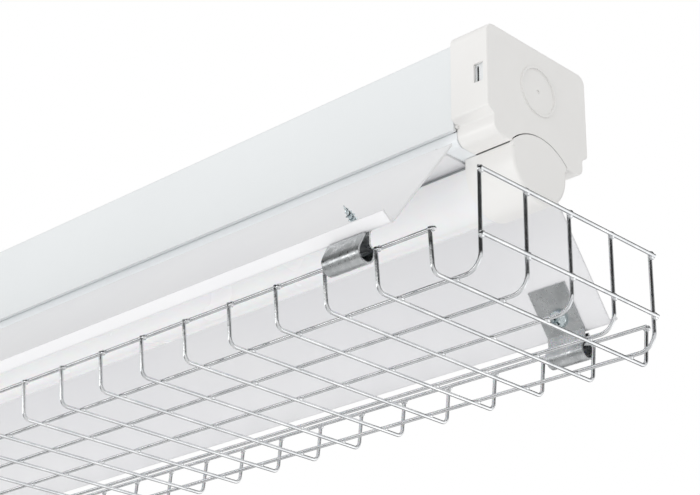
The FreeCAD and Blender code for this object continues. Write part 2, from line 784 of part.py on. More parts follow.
def ribbon(pieces, thickness, width):
    """A bent strip in the YZ plane, extruded along X.

    Each piece is a line, given by its two ends, or an arc, given by its centre, radius and two
    angles. An arc whose angles grow turns left.
    """
    sides = []
    for side in (thickness / 2, -thickness / 2):
        edges = []
        for kind, *data in pieces:
            if kind == "line":
                start, finish = data
                heading = (finish - start).normalize()
                aside = Vector(0, -heading.z, heading.y) * side
                edges.append((start + aside, None, finish + aside))
            else:
                centre, radius, begin, end = data
                reach = radius - side if end > begin else radius + side
                angles = (begin, (begin + end) / 2, end)
                edges.append(tuple(on_circle(centre, reach, angle) for angle in angles))
        sides.append(edges)
    left, right = sides
    loop = left + [(left[-1][2], None, right[-1][2])]
    loop += [(finish, middle, start) for start, middle, finish in reversed(right)]
    loop.append((right[0][0], None, left[0][0]))
    outline = [Part.LineSegment(start, finish).toShape() if middle is None
               else Part.Arc(start, middle, finish).toShape() for start, middle, finish in loop]
    face = Part.Face(Part.Wire(outline))
    solid = face.extrude(Vector(width, 0, 0))
    solid.translate(Vector(-width / 2, 0, 0))
    return solid


def pan_screw(name, radius, length, head_radius, head_height, tip=None):
    """A pan head screw with a cross recess. Its shank points up Z from under the head."""
    shank = cylinder(name + "Shank", radius, length if tip is None else length + " - " + tip)
    head = cylinder(name + "Head", head_radius, head_height, ("0", "0", "-" + head_height))
    solids = [shank, head]
    if tip is not None:
        point = doc.addObject("Part::Cone", name + "Point")
        point.setExpression("Radius1", formula(radius))
        point.Radius2 = 0
        point.setExpression("Height", formula(tip))
        point.setExpression("Placement.Base.z", formula(length + " - " + tip))
        solids.append(point)
    whole = fuse(name + "Blank", solids)
    dome = doc.addObject("Part::Fillet", name + "Dome")
    dome.Base = whole
    rim = [index for index, edge in enumerate(whole.Shape.Edges, start=1)
           if abs(edge.BoundBox.ZMax + amount(head_height)) < size("nudge")]
    roundness = amount(head_height) * HEAD_ROUND_SHARE
    dome.Edges = [(index, roundness, roundness) for index in rim]
    tools = []
    for turn in (0, 90):
        span = 2 * amount(head_radius) * RECESS_SPAN_SHARE
        slot = doc.addObject("Part::Box", name + "Recess")
        slot.Length = span
        slot.setExpression("Width", formula("recess_width"))
        slot.Height = amount(head_height) * RECESS_DEPTH_SHARE
        corner = Vector(-span / 2, -size("recess_width") / 2, -amount(head_height))
        spin = Rotation(Vector(0, 0, 1), turn)
        slot.Placement = Placement(spin.multVec(corner), spin)
        tools.append(slot)
    return cut(name, dome, tools)


# Spine


def make_spine():
    body = new_body("Spine")
    right = [
        ("spine_half", "-spine_drop"),
        ("spine_half", "-spine_depth"),
        ("spine_lip_half", "-spine_depth"),
        ("spine_lip_half", "-spine_lip_depth"),
        ("spine_inner_half", "-spine_lip_depth"),
        ("spine_inner_half", "-spine_inner_depth"),
    ]
    section = new_sketch(body, "YZ_Plane")
    draw_polygon(section, right + [("-" + across, up) for across, up in reversed(right)])
    pad(body, section, "spine_length", symmetric=True)
    round_folds(body, "spine_bend", [("spine_half", "-spine_drop")])
    round_folds(body, "spine_inner_bend", [("spine_inner_half", "-spine_inner_depth")])

    # The sides are cut back where the narrower skirt of an end cap covers them
    notch = new_sketch(body, "XZ_Plane")
    for side in ("", "-"):
        near, far = side + "spine_notch_start", side + "half_length"
        draw_rectangle(notch, near, far, "-body_depth", "-spine_notch_depth")
    pocket(body, notch, symmetric=True)

    # Pressed pads that meet the ceiling, hollow below, each with a slot along the batten
    pads = new_sketch(body, "XY_Plane", "-spine_drop")
    hollows = new_sketch(body, "XY_Plane", "-spine_inner_depth")
    for side in ("", "-"):
        draw_circle(pads, side + "fixing_place", "0", "fixing_pad_radius")
        draw_circle(hollows, side + "fixing_place", "0", "fixing_pad_inner")
    pad(body, pads, "spine_drop")
    pocket(body, hollows, "spine_drop", reverse=True)
    slots = new_sketch(body, "XY_Plane")
    for side in ("", "-"):
        draw_slot(slots, side + "fixing_place - fixing_arc_place", side + "fixing_place + fixing_arc_place",
                  "fixing_slot_half")
    pocket(body, slots, "spine_drop")

    entry = new_sketch(body, "XY_Plane")
    draw_circle(entry, "entry_place", "0", "entry_hole_radius")
    pocket(body, entry, "spine_inner_depth")

    # Slots in the sides for the end caps' latches, seen through the caps' windows
    latches = new_sketch(body, "XZ_Plane")
    for side in ("", "-"):
        draw_rectangle(latches, side + "latch_near", side + "latch_far", "-latch_bottom", "-latch_top")
    pocket(body, latches, symmetric=True)
    return node(body, "spine")


def make_grommet():
    """A rubber grommet in the spine's cable hole: two flanges, a neck and a bore."""
    x = "entry_place"
    upper = cylinder("GrommetUpper", "grommet_flange", "grommet_flange_sheet", (x, "0", "-spine_drop"))
    neck = cylinder("GrommetNeck", "entry_hole_radius - grommet_clearance", "spine_sheet",
                    (x, "0", "-spine_inner_depth"))
    lower = cylinder("GrommetLower", "grommet_flange", "grommet_flange_sheet",
                     (x, "0", "-spine_inner_depth - grommet_flange_sheet"))
    whole = fuse("GrommetBlank", [upper, neck, lower])
    bore = cylinder("GrommetBore", "grommet_bore", "overrun + spine_inner_depth",
                    (x, "0", "-overrun - spine_inner_depth"))
    return node(cut("Grommet", whole, [bore]), "cable_grommet")


# End caps


def make_end_cap():
    body = new_body("EndCap")
    right = [
        ("cap_half", "0"),
        ("cap_half", "-cap_shoulder_depth"),
        ("cap_skirt_half", "-cap_step_depth"),
        ("cap_skirt_half", "-body_depth"),
    ]
    section = new_sketch(body, "YZ_Plane", "cap_start")
    draw_polygon(section, right + [("-" + across, up) for across, up in reversed(right)])
    pad(body, section, "cap_length")
    inside = [
        ("cap_cavity_half", "-cap_top_wall"),
        ("cap_cavity_half", "-cap_shoulder_inner"),
        ("cap_cavity_skirt", "-cap_step_inner"),
        ("cap_cavity_skirt", "-cap_cavity_depth"),
    ]
    cavity = new_sketch(body, "YZ_Plane", "cap_start")
    draw_polygon(cavity, inside + [("-" + across, up) for across, up in reversed(inside)])
    pocket(body, cavity, "cap_cavity_length", reverse=True)
    round_folds(body, "cap_inner_corner", [("cap_cavity_skirt", "-cap_cavity_depth")])
    round_folds(body, "cap_corner", [("cap_half", "0")])
    round_folds(body, "cap_skirt_corner", [("cap_skirt_half", "-body_depth")])
    round_folds(body, "cap_shoulder_bend", [right[1], right[2]])
    face = size("half_length")
    round_edges(body, "cap_edge", lambda edge: edge.BoundBox.XMin > face - size("nudge"))

    # Tongues that slip behind the spine's sides
    tongues = new_sketch(body, "YZ_Plane", "cap_tongue_start")
    for side in ("", "-"):
        draw_rectangle(tongues, side + "cap_cavity_skirt", side + "cap_tongue_half",
                       "-cap_tongue_low", "-cap_tongue_high")
    pad(body, tongues, "cap_tongue + cap_side_wall")

    # Arched way through the face and floor for the diffuser cap's tongue
    arch = new_sketch(body, "YZ_Plane", "half_length")
    draw_arch(arch, "notch_half", "notch_radius", "-arch_centre_depth", "-notch_foot_depth")
    pocket(body, arch)

    windows = new_sketch(body, "XZ_Plane")
    draw_rectangle(windows, "window_near", "window_far", "-window_bottom", "-window_top")
    pocket(body, windows, symmetric=True)

    # Ring and centre mark of the cable knockout
    ring = new_sketch(body, "YZ_Plane", "half_length - nudge")
    draw_circle(ring, "0", "-ring_depth", "ring_outer")
    draw_circle(ring, "0", "-ring_depth", "ring_inner")
    pad(body, ring, "ring_height")
    dimple = new_sketch(body, "YZ_Plane", "half_length")
    draw_circle(dimple, "0", "-ring_depth", "dimple_radius")
    pocket(body, dimple, "dimple_sink")
    node(body, "end_cap_right")
    return node(mirrored("EndCapLeft", body, Vector(1, 0, 0)), "end_cap_left")


# Gear tray and what holds it


def make_tray():
    body = new_body("Tray")
    right = [
        ("tray_half", "-tray_top_depth"),
        ("tray_half", "-body_depth"),
    ]
    inside = [
        ("tray_inner_half", "-tray_floor_depth"),
        ("tray_inner_half", "-tray_top_depth"),
    ]
    left = [("-" + across, up) for across, up in reversed(right)]
    left_inside = [("-" + across, up) for across, up in reversed(inside)]
    section = new_sketch(body, "YZ_Plane")
    draw_polygon(section, right + left + left_inside + inside)
    pad(body, section, "tray_length", symmetric=True)
    round_folds(body, "tray_bend", [("tray_half", "-body_depth")])
    round_folds(body, "tray_inner_bend", [("tray_inner_half", "-tray_floor_depth")])
    corners = new_sketch(body, "XZ_Plane")
    for end in ("", "-"):
        draw_rectangle(corners, end + "tray_notch_start", end + "half_length",
                       "-spine_depth", "-spine_drop")
    pocket(body, corners, symmetric=True)
    holes = new_sketch(body, "XY_Plane", "-tray_top_depth")
    tray_holes(holes)
    draw_circle(holes, "earth_place", "0", "earth_stud_radius")
    for place in ("driver_screw_near", "driver_screw_far"):
        draw_circle(holes, place, "0", "m3_tapped")
    for side in ("", "-"):
        draw_circle(holes, "block_place", side + "block_screw_half", "m3_tapped")
    pocket(body, holes)
    return node(body, "gear_tray")


def tray_holes(sketch):
    """The holes that tray and reflector share."""
    for end in ("", "-"):
        for side in ("", "-"):
            draw_circle(sketch, end + "saddle_place", side + "tray_screw_half", "m4_hole")
        draw_circle(sketch, end + "carrier_screw_place", "0", "m3_hole")
    draw_circle(sketch, "lead_hole_place", "0", "lead_hole_radius")


def make_saddles():
    """Bridges under the spine's back whose feet hold the tray's screws."""
    sheet_half = size("saddle_sheet") / 2
    high = -(size("spine_inner_depth") + sheet_half)
    low = -(size("tray_floor_depth") - sheet_half)
    half, foot, bend = size("saddle_half"), size("saddle_foot"), size("saddle_bend")
    pieces = [
        ("line", Vector(0, half - foot, low), Vector(0, half - bend, low)),
        ("arc", Vector(0, half - bend, low + bend), bend, -90, 0),
        ("line", Vector(0, half, low + bend), Vector(0, half, high - bend)),
        ("arc", Vector(0, half - bend, high - bend), bend, 0, 90),
        ("line", Vector(0, half - bend, high), Vector(0, bend - half, high)),
        ("arc", Vector(0, bend - half, high - bend), bend, 90, 180),
        ("line", Vector(0, -half, high - bend), Vector(0, -half, low + bend)),
        ("arc", Vector(0, bend - half, low + bend), bend, 180, 270),
        ("line", Vector(0, bend - half, low), Vector(0, foot - half, low)),
    ]
    strip = ribbon(pieces, size("saddle_sheet"), size("saddle_width"))
    tapped, reach = size("m4_tapped"), size("overrun")
    for side in SIDES:
        spot = Vector(0, side * size("tray_screw_half"), low - reach)
        strip = strip.cut(Part.makeCylinder(tapped, 2 * reach, spot))
    solids = []
    for end in ENDS:
        solid = strip.copy()
        solid.translate(Vector(end * size("saddle_place"), 0, 0))
        solids.append(solid)
    return node(group("Saddles", solids), "tray_saddles")


def make_tray_screws():
    screw = pan_screw("TrayScrew", "m4_radius", "m4_length", "m4_head_radius", "m4_head_height")
    place, half, low = size("saddle_place"), size("tray_screw_half"), -size("reflector_base_depth")
    spots = [shift(end * place, side * half, low) for end in ENDS for side in SIDES]
    return node(group("TrayScrews", copies(screw, spots)), "tray_screws")


# Light engine and diffuser


def make_carrier():
    body = new_body("Carrier")
    right = [
        ("carrier_flange_half", "-carrier_top_depth"),
        ("carrier_flange_half", "-carrier_flange_depth"),
        ("carrier_groove_half", "-carrier_flange_depth"),
        ("carrier_groove_half", "-carrier_groove_depth"),
        ("carrier_half", "-carrier_groove_depth"),
        ("carrier_half", "-carrier_depth"),
    ]
    section = new_sketch(body, "YZ_Plane")
    draw_polygon(section, right + [("-" + across, up) for across, up in reversed(right)])
    pad(body, section, "carrier_length", symmetric=True)
    holes = new_sketch(body, "XY_Plane")
    for place in ("carrier_screw_place", "-carrier_screw_place"):
        draw_circle(holes, place, "0", "m3_hole")
    draw_circle(holes, "lead_hole_place", "0", "lead_hole_radius")
    pocket(body, holes)
    threads = new_sketch(body, "XY_Plane", "-carrier_depth")
    for side in ("", "-"):
        for place in ("board_screw_near", "board_screw_far"):
            for row in ("", "-"):
                draw_circle(threads, side + place, row + "board_screw_half", "m3_tapped")
    pocket(body, threads, "board_screw_hole", reverse=True)
    return node(body, "led_carrier")


def make_boards():
    """Two printed boards end to end under the carrier, with their LEDs and screws."""
    low = "-board_depth"
    for side, name in (("", "right"), ("-", "left")):
        start = "board_start" if side == "" else "-board_start - board_length"
        blank = box(f"Board{name}", (start, "-board_half", low),
                    ("board_length", "board_width", "board_sheet"))
        tools = []
        for place in ("board_screw_near", "board_screw_far"):
            for row in ("", "-"):
                spot = (side + place, row + "board_screw_half", low)
                tools.append(cylinder("BoardHole", "m3_hole", "overrun", spot))
        if side == "":
            tools.append(cylinder("LeadHole", "lead_hole_radius", "overrun", ("lead_hole_place", "0", low)))
        node(cut(f"LedBoard{name}", blank, tools), f"led_board_{name}")

    reach, far = size("board_screw_near"), size("board_screw_far")
    count = int((far - reach) // size("led_pitch"))
    span = (count - 1) * size("led_pitch")
    middle = size("board_start") + size("board_length") / 2
    length, width, height = size("led_length"), size("led_width"), size("led_height")
    corner = Vector(-length / 2, -width / 2, -size("board_depth") - height)
    chip = Part.makeBox(length, width, height, corner)
    chips = []
    for side in SIDES:
        for index in range(count):
            place = side * (middle - span / 2 + index * size("led_pitch"))
            if size("plug_clear_start") < place < size("plug_clear_end"):
                continue
            solid = chip.copy()
            solid.translate(Vector(place, 0, 0))
            chips.append(solid)
    node(group("Leds", chips), "leds")

    screw = pan_screw("BoardScrew", "m3_radius", "board_screw_length", "m3_head_radius", "m3_head_height")
    spots = [shift(side * place, row * size("board_screw_half"), -size("board_depth"))
             for side in SIDES for place in (reach, far) for row in SIDES]
    node(group("BoardScrews", copies(screw, spots)), "board_screws")


def make_carrier_fixings():
    """Screws up through carrier, reflector and tray, each with a nut on the tray's floor."""
    screw = pan_screw("CarrierScrew", "m3_radius", "m3_length", "m3_head_radius", "m3_head_height")
    places = [end * size("carrier_screw_place") for end in ENDS]
    spots = [shift(place, 0, -size("carrier_depth")) for place in places]
    node(group("CarrierScrews", copies(screw, spots)), "carrier_screws")
    blank = prism("NutBlank", "m3_nut_radius", "m3_nut_height", ("0", "0", "-tray_floor_depth"))
    bore = cylinder("NutBore", "m3_radius + m4_thread_gap", "overrun", ("0", "0", "-tray_floor_depth"))
    nut = cut("CarrierNut", blank, [bore])
    node(group("CarrierNuts", copies(nut, [shift(place, 0, 0) for place in places])), "carrier_nuts")


def make_diffuser():
    body = new_body("Diffuser")
    outer = new_sketch(body, "YZ_Plane")
    draw_trough(outer, "diffuser_radius", "-diffuser_centre_depth", "-diffuser_top_depth")
    pad(body, outer, "diffuser_length", symmetric=True)
    inner = new_sketch(body, "YZ_Plane")
    draw_trough(inner, "diffuser_inner", "-diffuser_centre_depth", "-diffuser_open_depth")
    pocket(body, inner, symmetric=True)
    lips = new_sketch(body, "YZ_Plane")
    for near, far in (("diffuser_lip_half", "diffuser_radius - nudge"),
                      ("-diffuser_radius + nudge", "-diffuser_lip_half")):
        draw_rectangle(lips, near, far, "-diffuser_lip_depth", "-diffuser_top_depth")
    pad(body, lips, "diffuser_length", symmetric=True)
    return node(body, "diffuser")


def make_lens_cap():
    """The U-shaped end of the diffuser, with the arched tongue that shows in the end cap."""
    body = new_body("LensCap")
    outer = new_sketch(body, "YZ_Plane", "lens_cap_start")
    draw_trough(outer, "lens_cap_radius", "-diffuser_centre_depth", "-lens_cap_top_depth")
    pad(body, outer, "lens_cap_length")
    face = size("half_length")
    round_edges(body, "lens_cap_edge",
                lambda edge: edge.BoundBox.XMin > face - size("nudge")
                and edge.BoundBox.ZMin < -size("lens_cap_top_depth") - size("nudge"))
    inner = new_sketch(body, "YZ_Plane", "lens_cap_start")
    draw_trough(inner, "lens_cap_inner", "-diffuser_centre_depth", "-lens_cap_open_depth")
    pocket(body, inner, "lens_cap_cavity", reverse=True)
    tongue = new_sketch(body, "YZ_Plane", "lens_cap_face_start")
    draw_arch(tongue, "tongue_half", "arch_radius", "-arch_centre_depth", "-tongue_foot_depth")
    pad(body, tongue, "lens_cap_face")
    boss = new_sketch(body, "YZ_Plane", "lens_boss_start")
    draw_rectangle(boss, "-lens_boss_half", "lens_boss_half", "-lens_boss_low_depth", "-carrier_top_depth")
    pad(body, boss, "lens_boss_length + nudge")
    node(body, "diffuser_cap_right")
    return node(mirrored("LensCapLeft", body, Vector(1, 0, 0)), "diffuser_cap_left")


# Reflector


def wing_point(rise, lift):
    """A point in the YZ plane by its distance up the right wing from the fold, and off its underside."""
    sine, cosine = size("wing_sin"), size("wing_cos")
    across = size("reflector_half") - rise * cosine + lift * sine
    up = -size("reflector_depth") + rise * sine + lift * cosine
    return Vector(0, across, up)


def wing_normal():
    """The direction out of the right wing's upper side."""
    return Vector(0, size("wing_sin"), size("wing_cos"))


def make_reflector():
    body = new_body("Reflector")
    right = [
        ("shoulder_half", "-body_depth"),
        ("fold_inner_half", "-fold_inner_depth"),
        ("lip_top_half", "-lip_top_depth"),
        ("lip_tip_half", "-lip_tip_depth"),
        ("reflector_half", "-reflector_depth"),
        ("shoulder_inner_half", "-reflector_base_depth"),
    ]
    section = new_sketch(body, "YZ_Plane")
    draw_polygon(section, right + [("-" + across, up) for across, up in reversed(right)])
    pad(body, section, "reflector_length", symmetric=True)
    round_folds(body, "reflector_bend", [right[0], right[4]])
    round_folds(body, "reflector_inner_bend", [right[1], right[5]])
    notches = new_sketch(body, "XY_Plane")
    for end in ("", "-"):
        draw_rectangle(notches, end + "reflector_notch_start", end + "half_length",
                       "-reflector_notch_half", "reflector_notch_half")
    tray_holes(notches)
    pocket(body, notches, "reflector_depth")
    tools = []
    for spot, turn in clip_screw_spots():
        drill = cylinder("ClipDrill", "tapper_hole", "overrun")
        drill.Placement = Placement(spot - turn.multVec(Vector(0, 0, size("overrun") / 2)), turn)
        tools.append(drill)
    return node(cut("ReflectorDrilled", body, tools), "reflector")


# Guard clips


def clip_screw_spots():
    """Where each clip screw crosses the wing's underside, and the turn of its axis."""
    spots = []
    for side in SIDES:
        for end in ENDS:
            place = wing_point(size("clip_screw_rise"), 0)
            normal = wing_normal()
            spot = Vector(end * size("clip_place"), side * place.y, place.z)
            spots.append((spot, Rotation(Vector(0, 0, 1), Vector(0, side * normal.y, normal.z))))
    return spots


def make_clip():
    """A plate on the wing, a leg that pinches in, a loop under the rim wire and a tip that springs up."""
    sheet, bend, pinch, loop = size("clip_sheet"), size("clip_bend"), size("clip_pinch"), size("clip_loop")
    under, bend_rise = -sheet / 2, size("clip_bend_rise")
    top = wing_point(size("clip_corner_rise") + size("clip_plate"), under)
    bend_start = wing_point(bend_rise, under)
    bend_centre = wing_point(bend_rise, under - bend)
    bend_angle = math.degrees(math.atan2(size("wing_cos"), size("wing_sin")))
    loop_centre = Vector(0, size("clip_loop_half"), -size("clip_loop_depth"))
    pinch_half, reach = size("clip_leg_half") - pinch, loop + pinch
    pinch_angle = math.degrees(math.acos((loop_centre.y - pinch_half) / reach))
    pinch_centre = on_circle(loop_centre, reach, 180 - pinch_angle)
    tip = wing_point(under - size("clip_tip_gap"), sheet)
    to_tip = tip - loop_centre
    tip_angle = math.degrees(math.atan2(to_tip.z, to_tip.y) - math.acos(loop / to_tip.Length))
    pieces = [
        ("line", top, bend_start),
        ("arc", bend_centre, bend, bend_angle, 0),
        ("line", on_circle(bend_centre, bend, 0), on_circle(pinch_centre, pinch, 0)),
        ("arc", pinch_centre, pinch, 0, -pinch_angle),
        ("arc", loop_centre, loop, 180 - pinch_angle, 360 + tip_angle),
        ("line", on_circle(loop_centre, loop, tip_angle), tip),
    ]
    clip = ribbon(pieces, sheet, size("clip_width"))
    turn = Rotation(Vector(0, 0, 1), wing_normal())
    through = size("overrun")
    drill = Part.makeCylinder(size("tapper_hole"), through)
    middle = turn.multVec(Vector(0, 0, through / 2))
    drill.Placement = Placement(wing_point(size("clip_screw_rise"), 0) - middle, turn)
    return clip.cut(drill)


def make_clips():
    clip = make_clip()
    for side, name in ((-1, "near_guard_clips"), (1, "far_guard_clips")):
        shape = clip if side > 0 else clip.mirror(Vector(), Vector(0, 1, 0))
        solids = []
        for end in ENDS:
            solid = shape.copy()
            solid.translate(Vector(end * size("clip_place"), 0, 0))
            solids.append(solid)
        node(group("Clips" + name[:4].title(), solids), name)
    screw = pan_screw("ClipScrew", "tapper_radius", "tapper_length", "tapper_head_radius",
                      "tapper_head_height", "tapper_tip")
    under_head = Vector(0, 0, -size("clip_sheet"))
    spots = [Placement(spot + turn.multVec(under_head), turn) for spot, turn in clip_screw_spots()]
    node(group("ClipScrews", copies(screw, spots)), "clip_screws")


# Wire guard


def make_guard():
    """Bent cross wires and long wires, two rim wires and the end panels' wires, welded where they touch."""
    wire, radius, stub = size("wire_diameter"), size("wire_radius"), size("wire_stub")
    half, pitch = size("half_length"), size("wire_pitch")
    floor = -size("guard_depth")

    high, low = -size("rim_depth") + size("cross_stub"), floor - radius
    side_top = size("rim_half") + wire
    side_foot = side_top - size("side_lean")
    corners = ((-side_top, high), (-side_foot, low), (side_foot, low), (side_top, high))
    cross = tube([Vector(0, across, up) for across, up in corners], size("side_bend"), radius)
    crossings = []
    for index in range(round(size("batten_length") / pitch) + 1):
        solid = cross.copy()
        solid.translate(Vector(index * pitch - half, 0, 0))
        crossings.append(solid)
    node(group("GuardCross", crossings), "guard_cross_wires")

    panel = half + size("end_offset") - radius
    high, low = floor + size("end_top_rise") + radius + stub, floor + radius
    corners = ((-panel, high), (-panel, low), (panel, low), (panel, high))
    long_wire = tube([Vector(along, 0, up) for along, up in corners], size("end_bend"), radius)
    row_half, row_spaces = size("row_half"), round(size("row_spaces"))
    long_wires = []
    for index in range(row_spaces + 1):
        solid = long_wire.copy()
        solid.translate(Vector(0, (2 * index / row_spaces - 1) * row_half, 0))
        long_wires.append(solid)
    node(group("GuardLong", long_wires), "guard_long_wires")

    reach = half + radius + stub
    rims = []
    for side in SIDES:
        start = Vector(-reach, side * size("rim_half"), -size("rim_depth"))
        rims.append(Part.makeCylinder(radius, 2 * reach, start, Vector(1, 0, 0)))
    node(group("GuardRims", rims), "guard_rim_wires")

    span = row_half + radius + stub
    ends = []
    for end in ENDS:
        for rise in (size("end_low_rise"), size("end_top_rise")):
            start = Vector(end * (panel + wire), -span, floor + rise)
            ends.append(Part.makeCylinder(radius, 2 * span, start, Vector(0, 1, 0)))
    node(group("GuardEnds", ends), "guard_end_wires")


# Driver


def make_driver():
    floor = "-tray_floor_depth"
    shell = box("DriverShell", ("driver_start", "-driver_half", floor),
                ("driver_length", "driver_width", "driver_height"))
    inner = box("DriverInner",
                ("driver_start + driver_wall", "-driver_half + driver_wall", floor + " + driver_wall"),
                ("driver_inner_length", "driver_inner_width", "driver_height"))
    hollow = cut("DriverHollow", shell, [inner])
    ears = []
    for start in ("driver_start - driver_ear", "driver_end"):
        ears.append(box("DriverEar", (start, "-driver_ear_half", floor),
                        ("driver_ear", "driver_ear", "driver_wall")))
    holes = [cylinder("DriverEarHole", "m3_hole", "overrun", (place, "0", floor))
             for place in ("driver_screw_near", "driver_screw_far")]
    # One window right through both ends lets the leads into the plugs
    window = box("DriverWindow", ("driver_start - overrun", "-driver_window_half", "-driver_plug_low"),
                 ("driver_length + overrun + overrun", "driver_window_width", "driver_window_height"))
    node(cut("DriverCase", fuse("DriverEars", [hollow] + ears), holes + [window]), "driver_case")
    node(box("DriverLid", ("driver_start", "-driver_half", "-driver_top_depth"),
             ("driver_length", "driver_width", "driver_lid")), "driver_lid")

    # The board stands on two spacers, soldered to it
    spacer_low = floor + " + driver_wall"
    board_low = spacer_low + " + driver_board_rise"
    board = box("DriverPlate", ("driver_start + plug_end", "-driver_board_half", board_low),
                ("driver_board_length", "driver_board_width", "driver_board_sheet"))
    spacers = [box("DriverSpacer", (place, "-driver_ear_half", spacer_low),
                   ("driver_ear", "driver_ear", "driver_board_rise"))
               for place in ("driver_spacer_near", "driver_spacer_far")]
    node(fuse("DriverBoard", [board] + spacers), "driver_board")
    parts_low = board_low + " + driver_board_sheet"
    node(box("DriverCoil", ("driver_place", "-coil_half_width", parts_low),
             ("coil_length", "coil_width", "coil_height")), "driver_transformer")
    cans = []
    for count in CAN_STEPS:
        place = size("driver_place") + count * size("coil_length") + size("can_radius")
        spot = Vector(place, 0, amount(parts_low))
        cans.append(Part.makeCylinder(size("can_radius"), size("can_height"), spot))
    node(group("DriverCans", cans), "driver_capacitors")

    # Push-in plugs that stand on shelves of the board's height, at each end of the case
    plugs = []
    for start, end in (("driver_start + driver_wall", -1), ("driver_end - plug_end", 1)):
        plug = box("DriverPlug", (start, "-plug_half_width", spacer_low),
                   ("plug_length", "plug_width", "driver_inner_height"))
        doc.recompute()
        solid = plug.Shape.copy()
        bore = size("lead_radius") + size("lead_clearance")
        for side in SIDES:
            spot = Vector(size("driver_place"), side * size("lead_half_gap"), -size("driver_plug_depth"))
            solid = solid.cut(Part.makeCylinder(bore, size("driver_length"), spot, Vector(end, 0, 0)))
        plugs.append(solid)
    node(group("DriverPlugs", plugs), "driver_terminals")


# Mains side


def make_terminal_block():
    floor = "-tray_floor_depth"
    blank = box("BlockBlank", ("block_start", "-block_half_width", floor),
                ("block_length", "block_width", "block_height"))
    ear_low = ("block_place - block_ear_half", "-block_half_width - block_ear", floor)
    ears = box("BlockEars", ear_low, ("block_ear", "block_full_width", "block_ear_sheet"))
    tools = []
    for side in ("", "-"):
        spot = ("block_place", side + "block_screw_half", floor)
        tools.append(cylinder("BlockEarHole", "m3_hole", "overrun", spot))
    screws = []
    radius, slot_width = size("pole_screw_radius"), size("recess_width")
    top = -size("tray_floor_depth") + size("block_height")
    low = -size("pole_depth") + size("lead_radius") + size("lead_clearance")
    high = top - size("pole_screw_sink")
    along = Rotation(Vector(0, 1, 0), 90)
    for index in POLES:
        across = index * size("pole_pitch")
        way = doc.addObject("Part::Cylinder", "BlockWay")
        way.setExpression("Radius", "Sizes.pole_bore")
        way.setExpression("Height", "Sizes.block_length")
        way.Placement = shift(size("block_start"), across, -size("pole_depth"), along)
        well = doc.addObject("Part::Cylinder", "BlockWell")
        well.Radius = radius + size("m3_thread_gap")
        well.Height = top - low
        well.Placement = shift(size("block_place"), across, low)
        tools += [way, well]
        spot = Vector(size("block_place"), across, low)
        slot = Part.makeBox(2 * radius, slot_width, high - low,
                            spot + Vector(-radius, -slot_width / 2, high - low - size("pole_slot_depth")))
        screws.append(Part.makeCylinder(radius, high - low, spot).cut(slot))
    node(cut("TerminalBlock", fuse("BlockWhole", [blank, ears]), tools), "terminal_block")
    node(group("BlockScrews", screws), "terminal_screws")


def make_gear_screws():
    """Screws that hold the driver and the terminal block to the tray."""
    screw = pan_screw("GearScrew", "m3_radius", "gear_screw_length", "m3_head_radius", "m3_head_height")
    flip = Rotation(Vector(1, 0, 0), 180)
    floor, half = -size("tray_floor_depth"), size("block_screw_half")
    spots = [shift(size(place), 0, floor + size("driver_wall"), flip)
             for place in ("driver_screw_near", "driver_screw_far")]
    ear = floor + size("block_ear_sheet")
    spots += [shift(size("block_place"), side * half, ear, flip) for side in SIDES]
    node(group("GearScrews", copies(screw, spots)), "gear_screws")


def make_earth():
    place, floor = "earth_place", "-tray_floor_depth"
    stud = cylinder("EarthStud", "earth_stud_radius - m3_thread_gap", "tray_sheet + earth_stud_height",
                    (place, "0", "-body_depth"))
    node(stud, "earth_stud")
    eye = cylinder("TagEye", "earth_tag_radius", "earth_tag_sheet", (place, "0", floor))
    arm = box("TagArm", (place, "-lead_radius", floor),
              ("earth_tag_length", "lead_diameter", "earth_tag_sheet"))
    hole = cylinder("TagHole", "earth_stud_radius", "overrun", (place, "0", floor))
    node(cut("EarthTag", fuse("TagWhole", [eye, arm]), [hole]), "earth_tag")
    seat = floor + " + earth_tag_sheet"
    blank = prism("EarthNutBlank", "earth_nut_radius", "earth_nut_height", (place, "0", seat))
    bore = cylinder("EarthNutBore", "earth_stud_radius", "overrun", (place, "0", seat))
    node(cut("EarthNut", blank, [bore]), "earth_nut")


# Leads


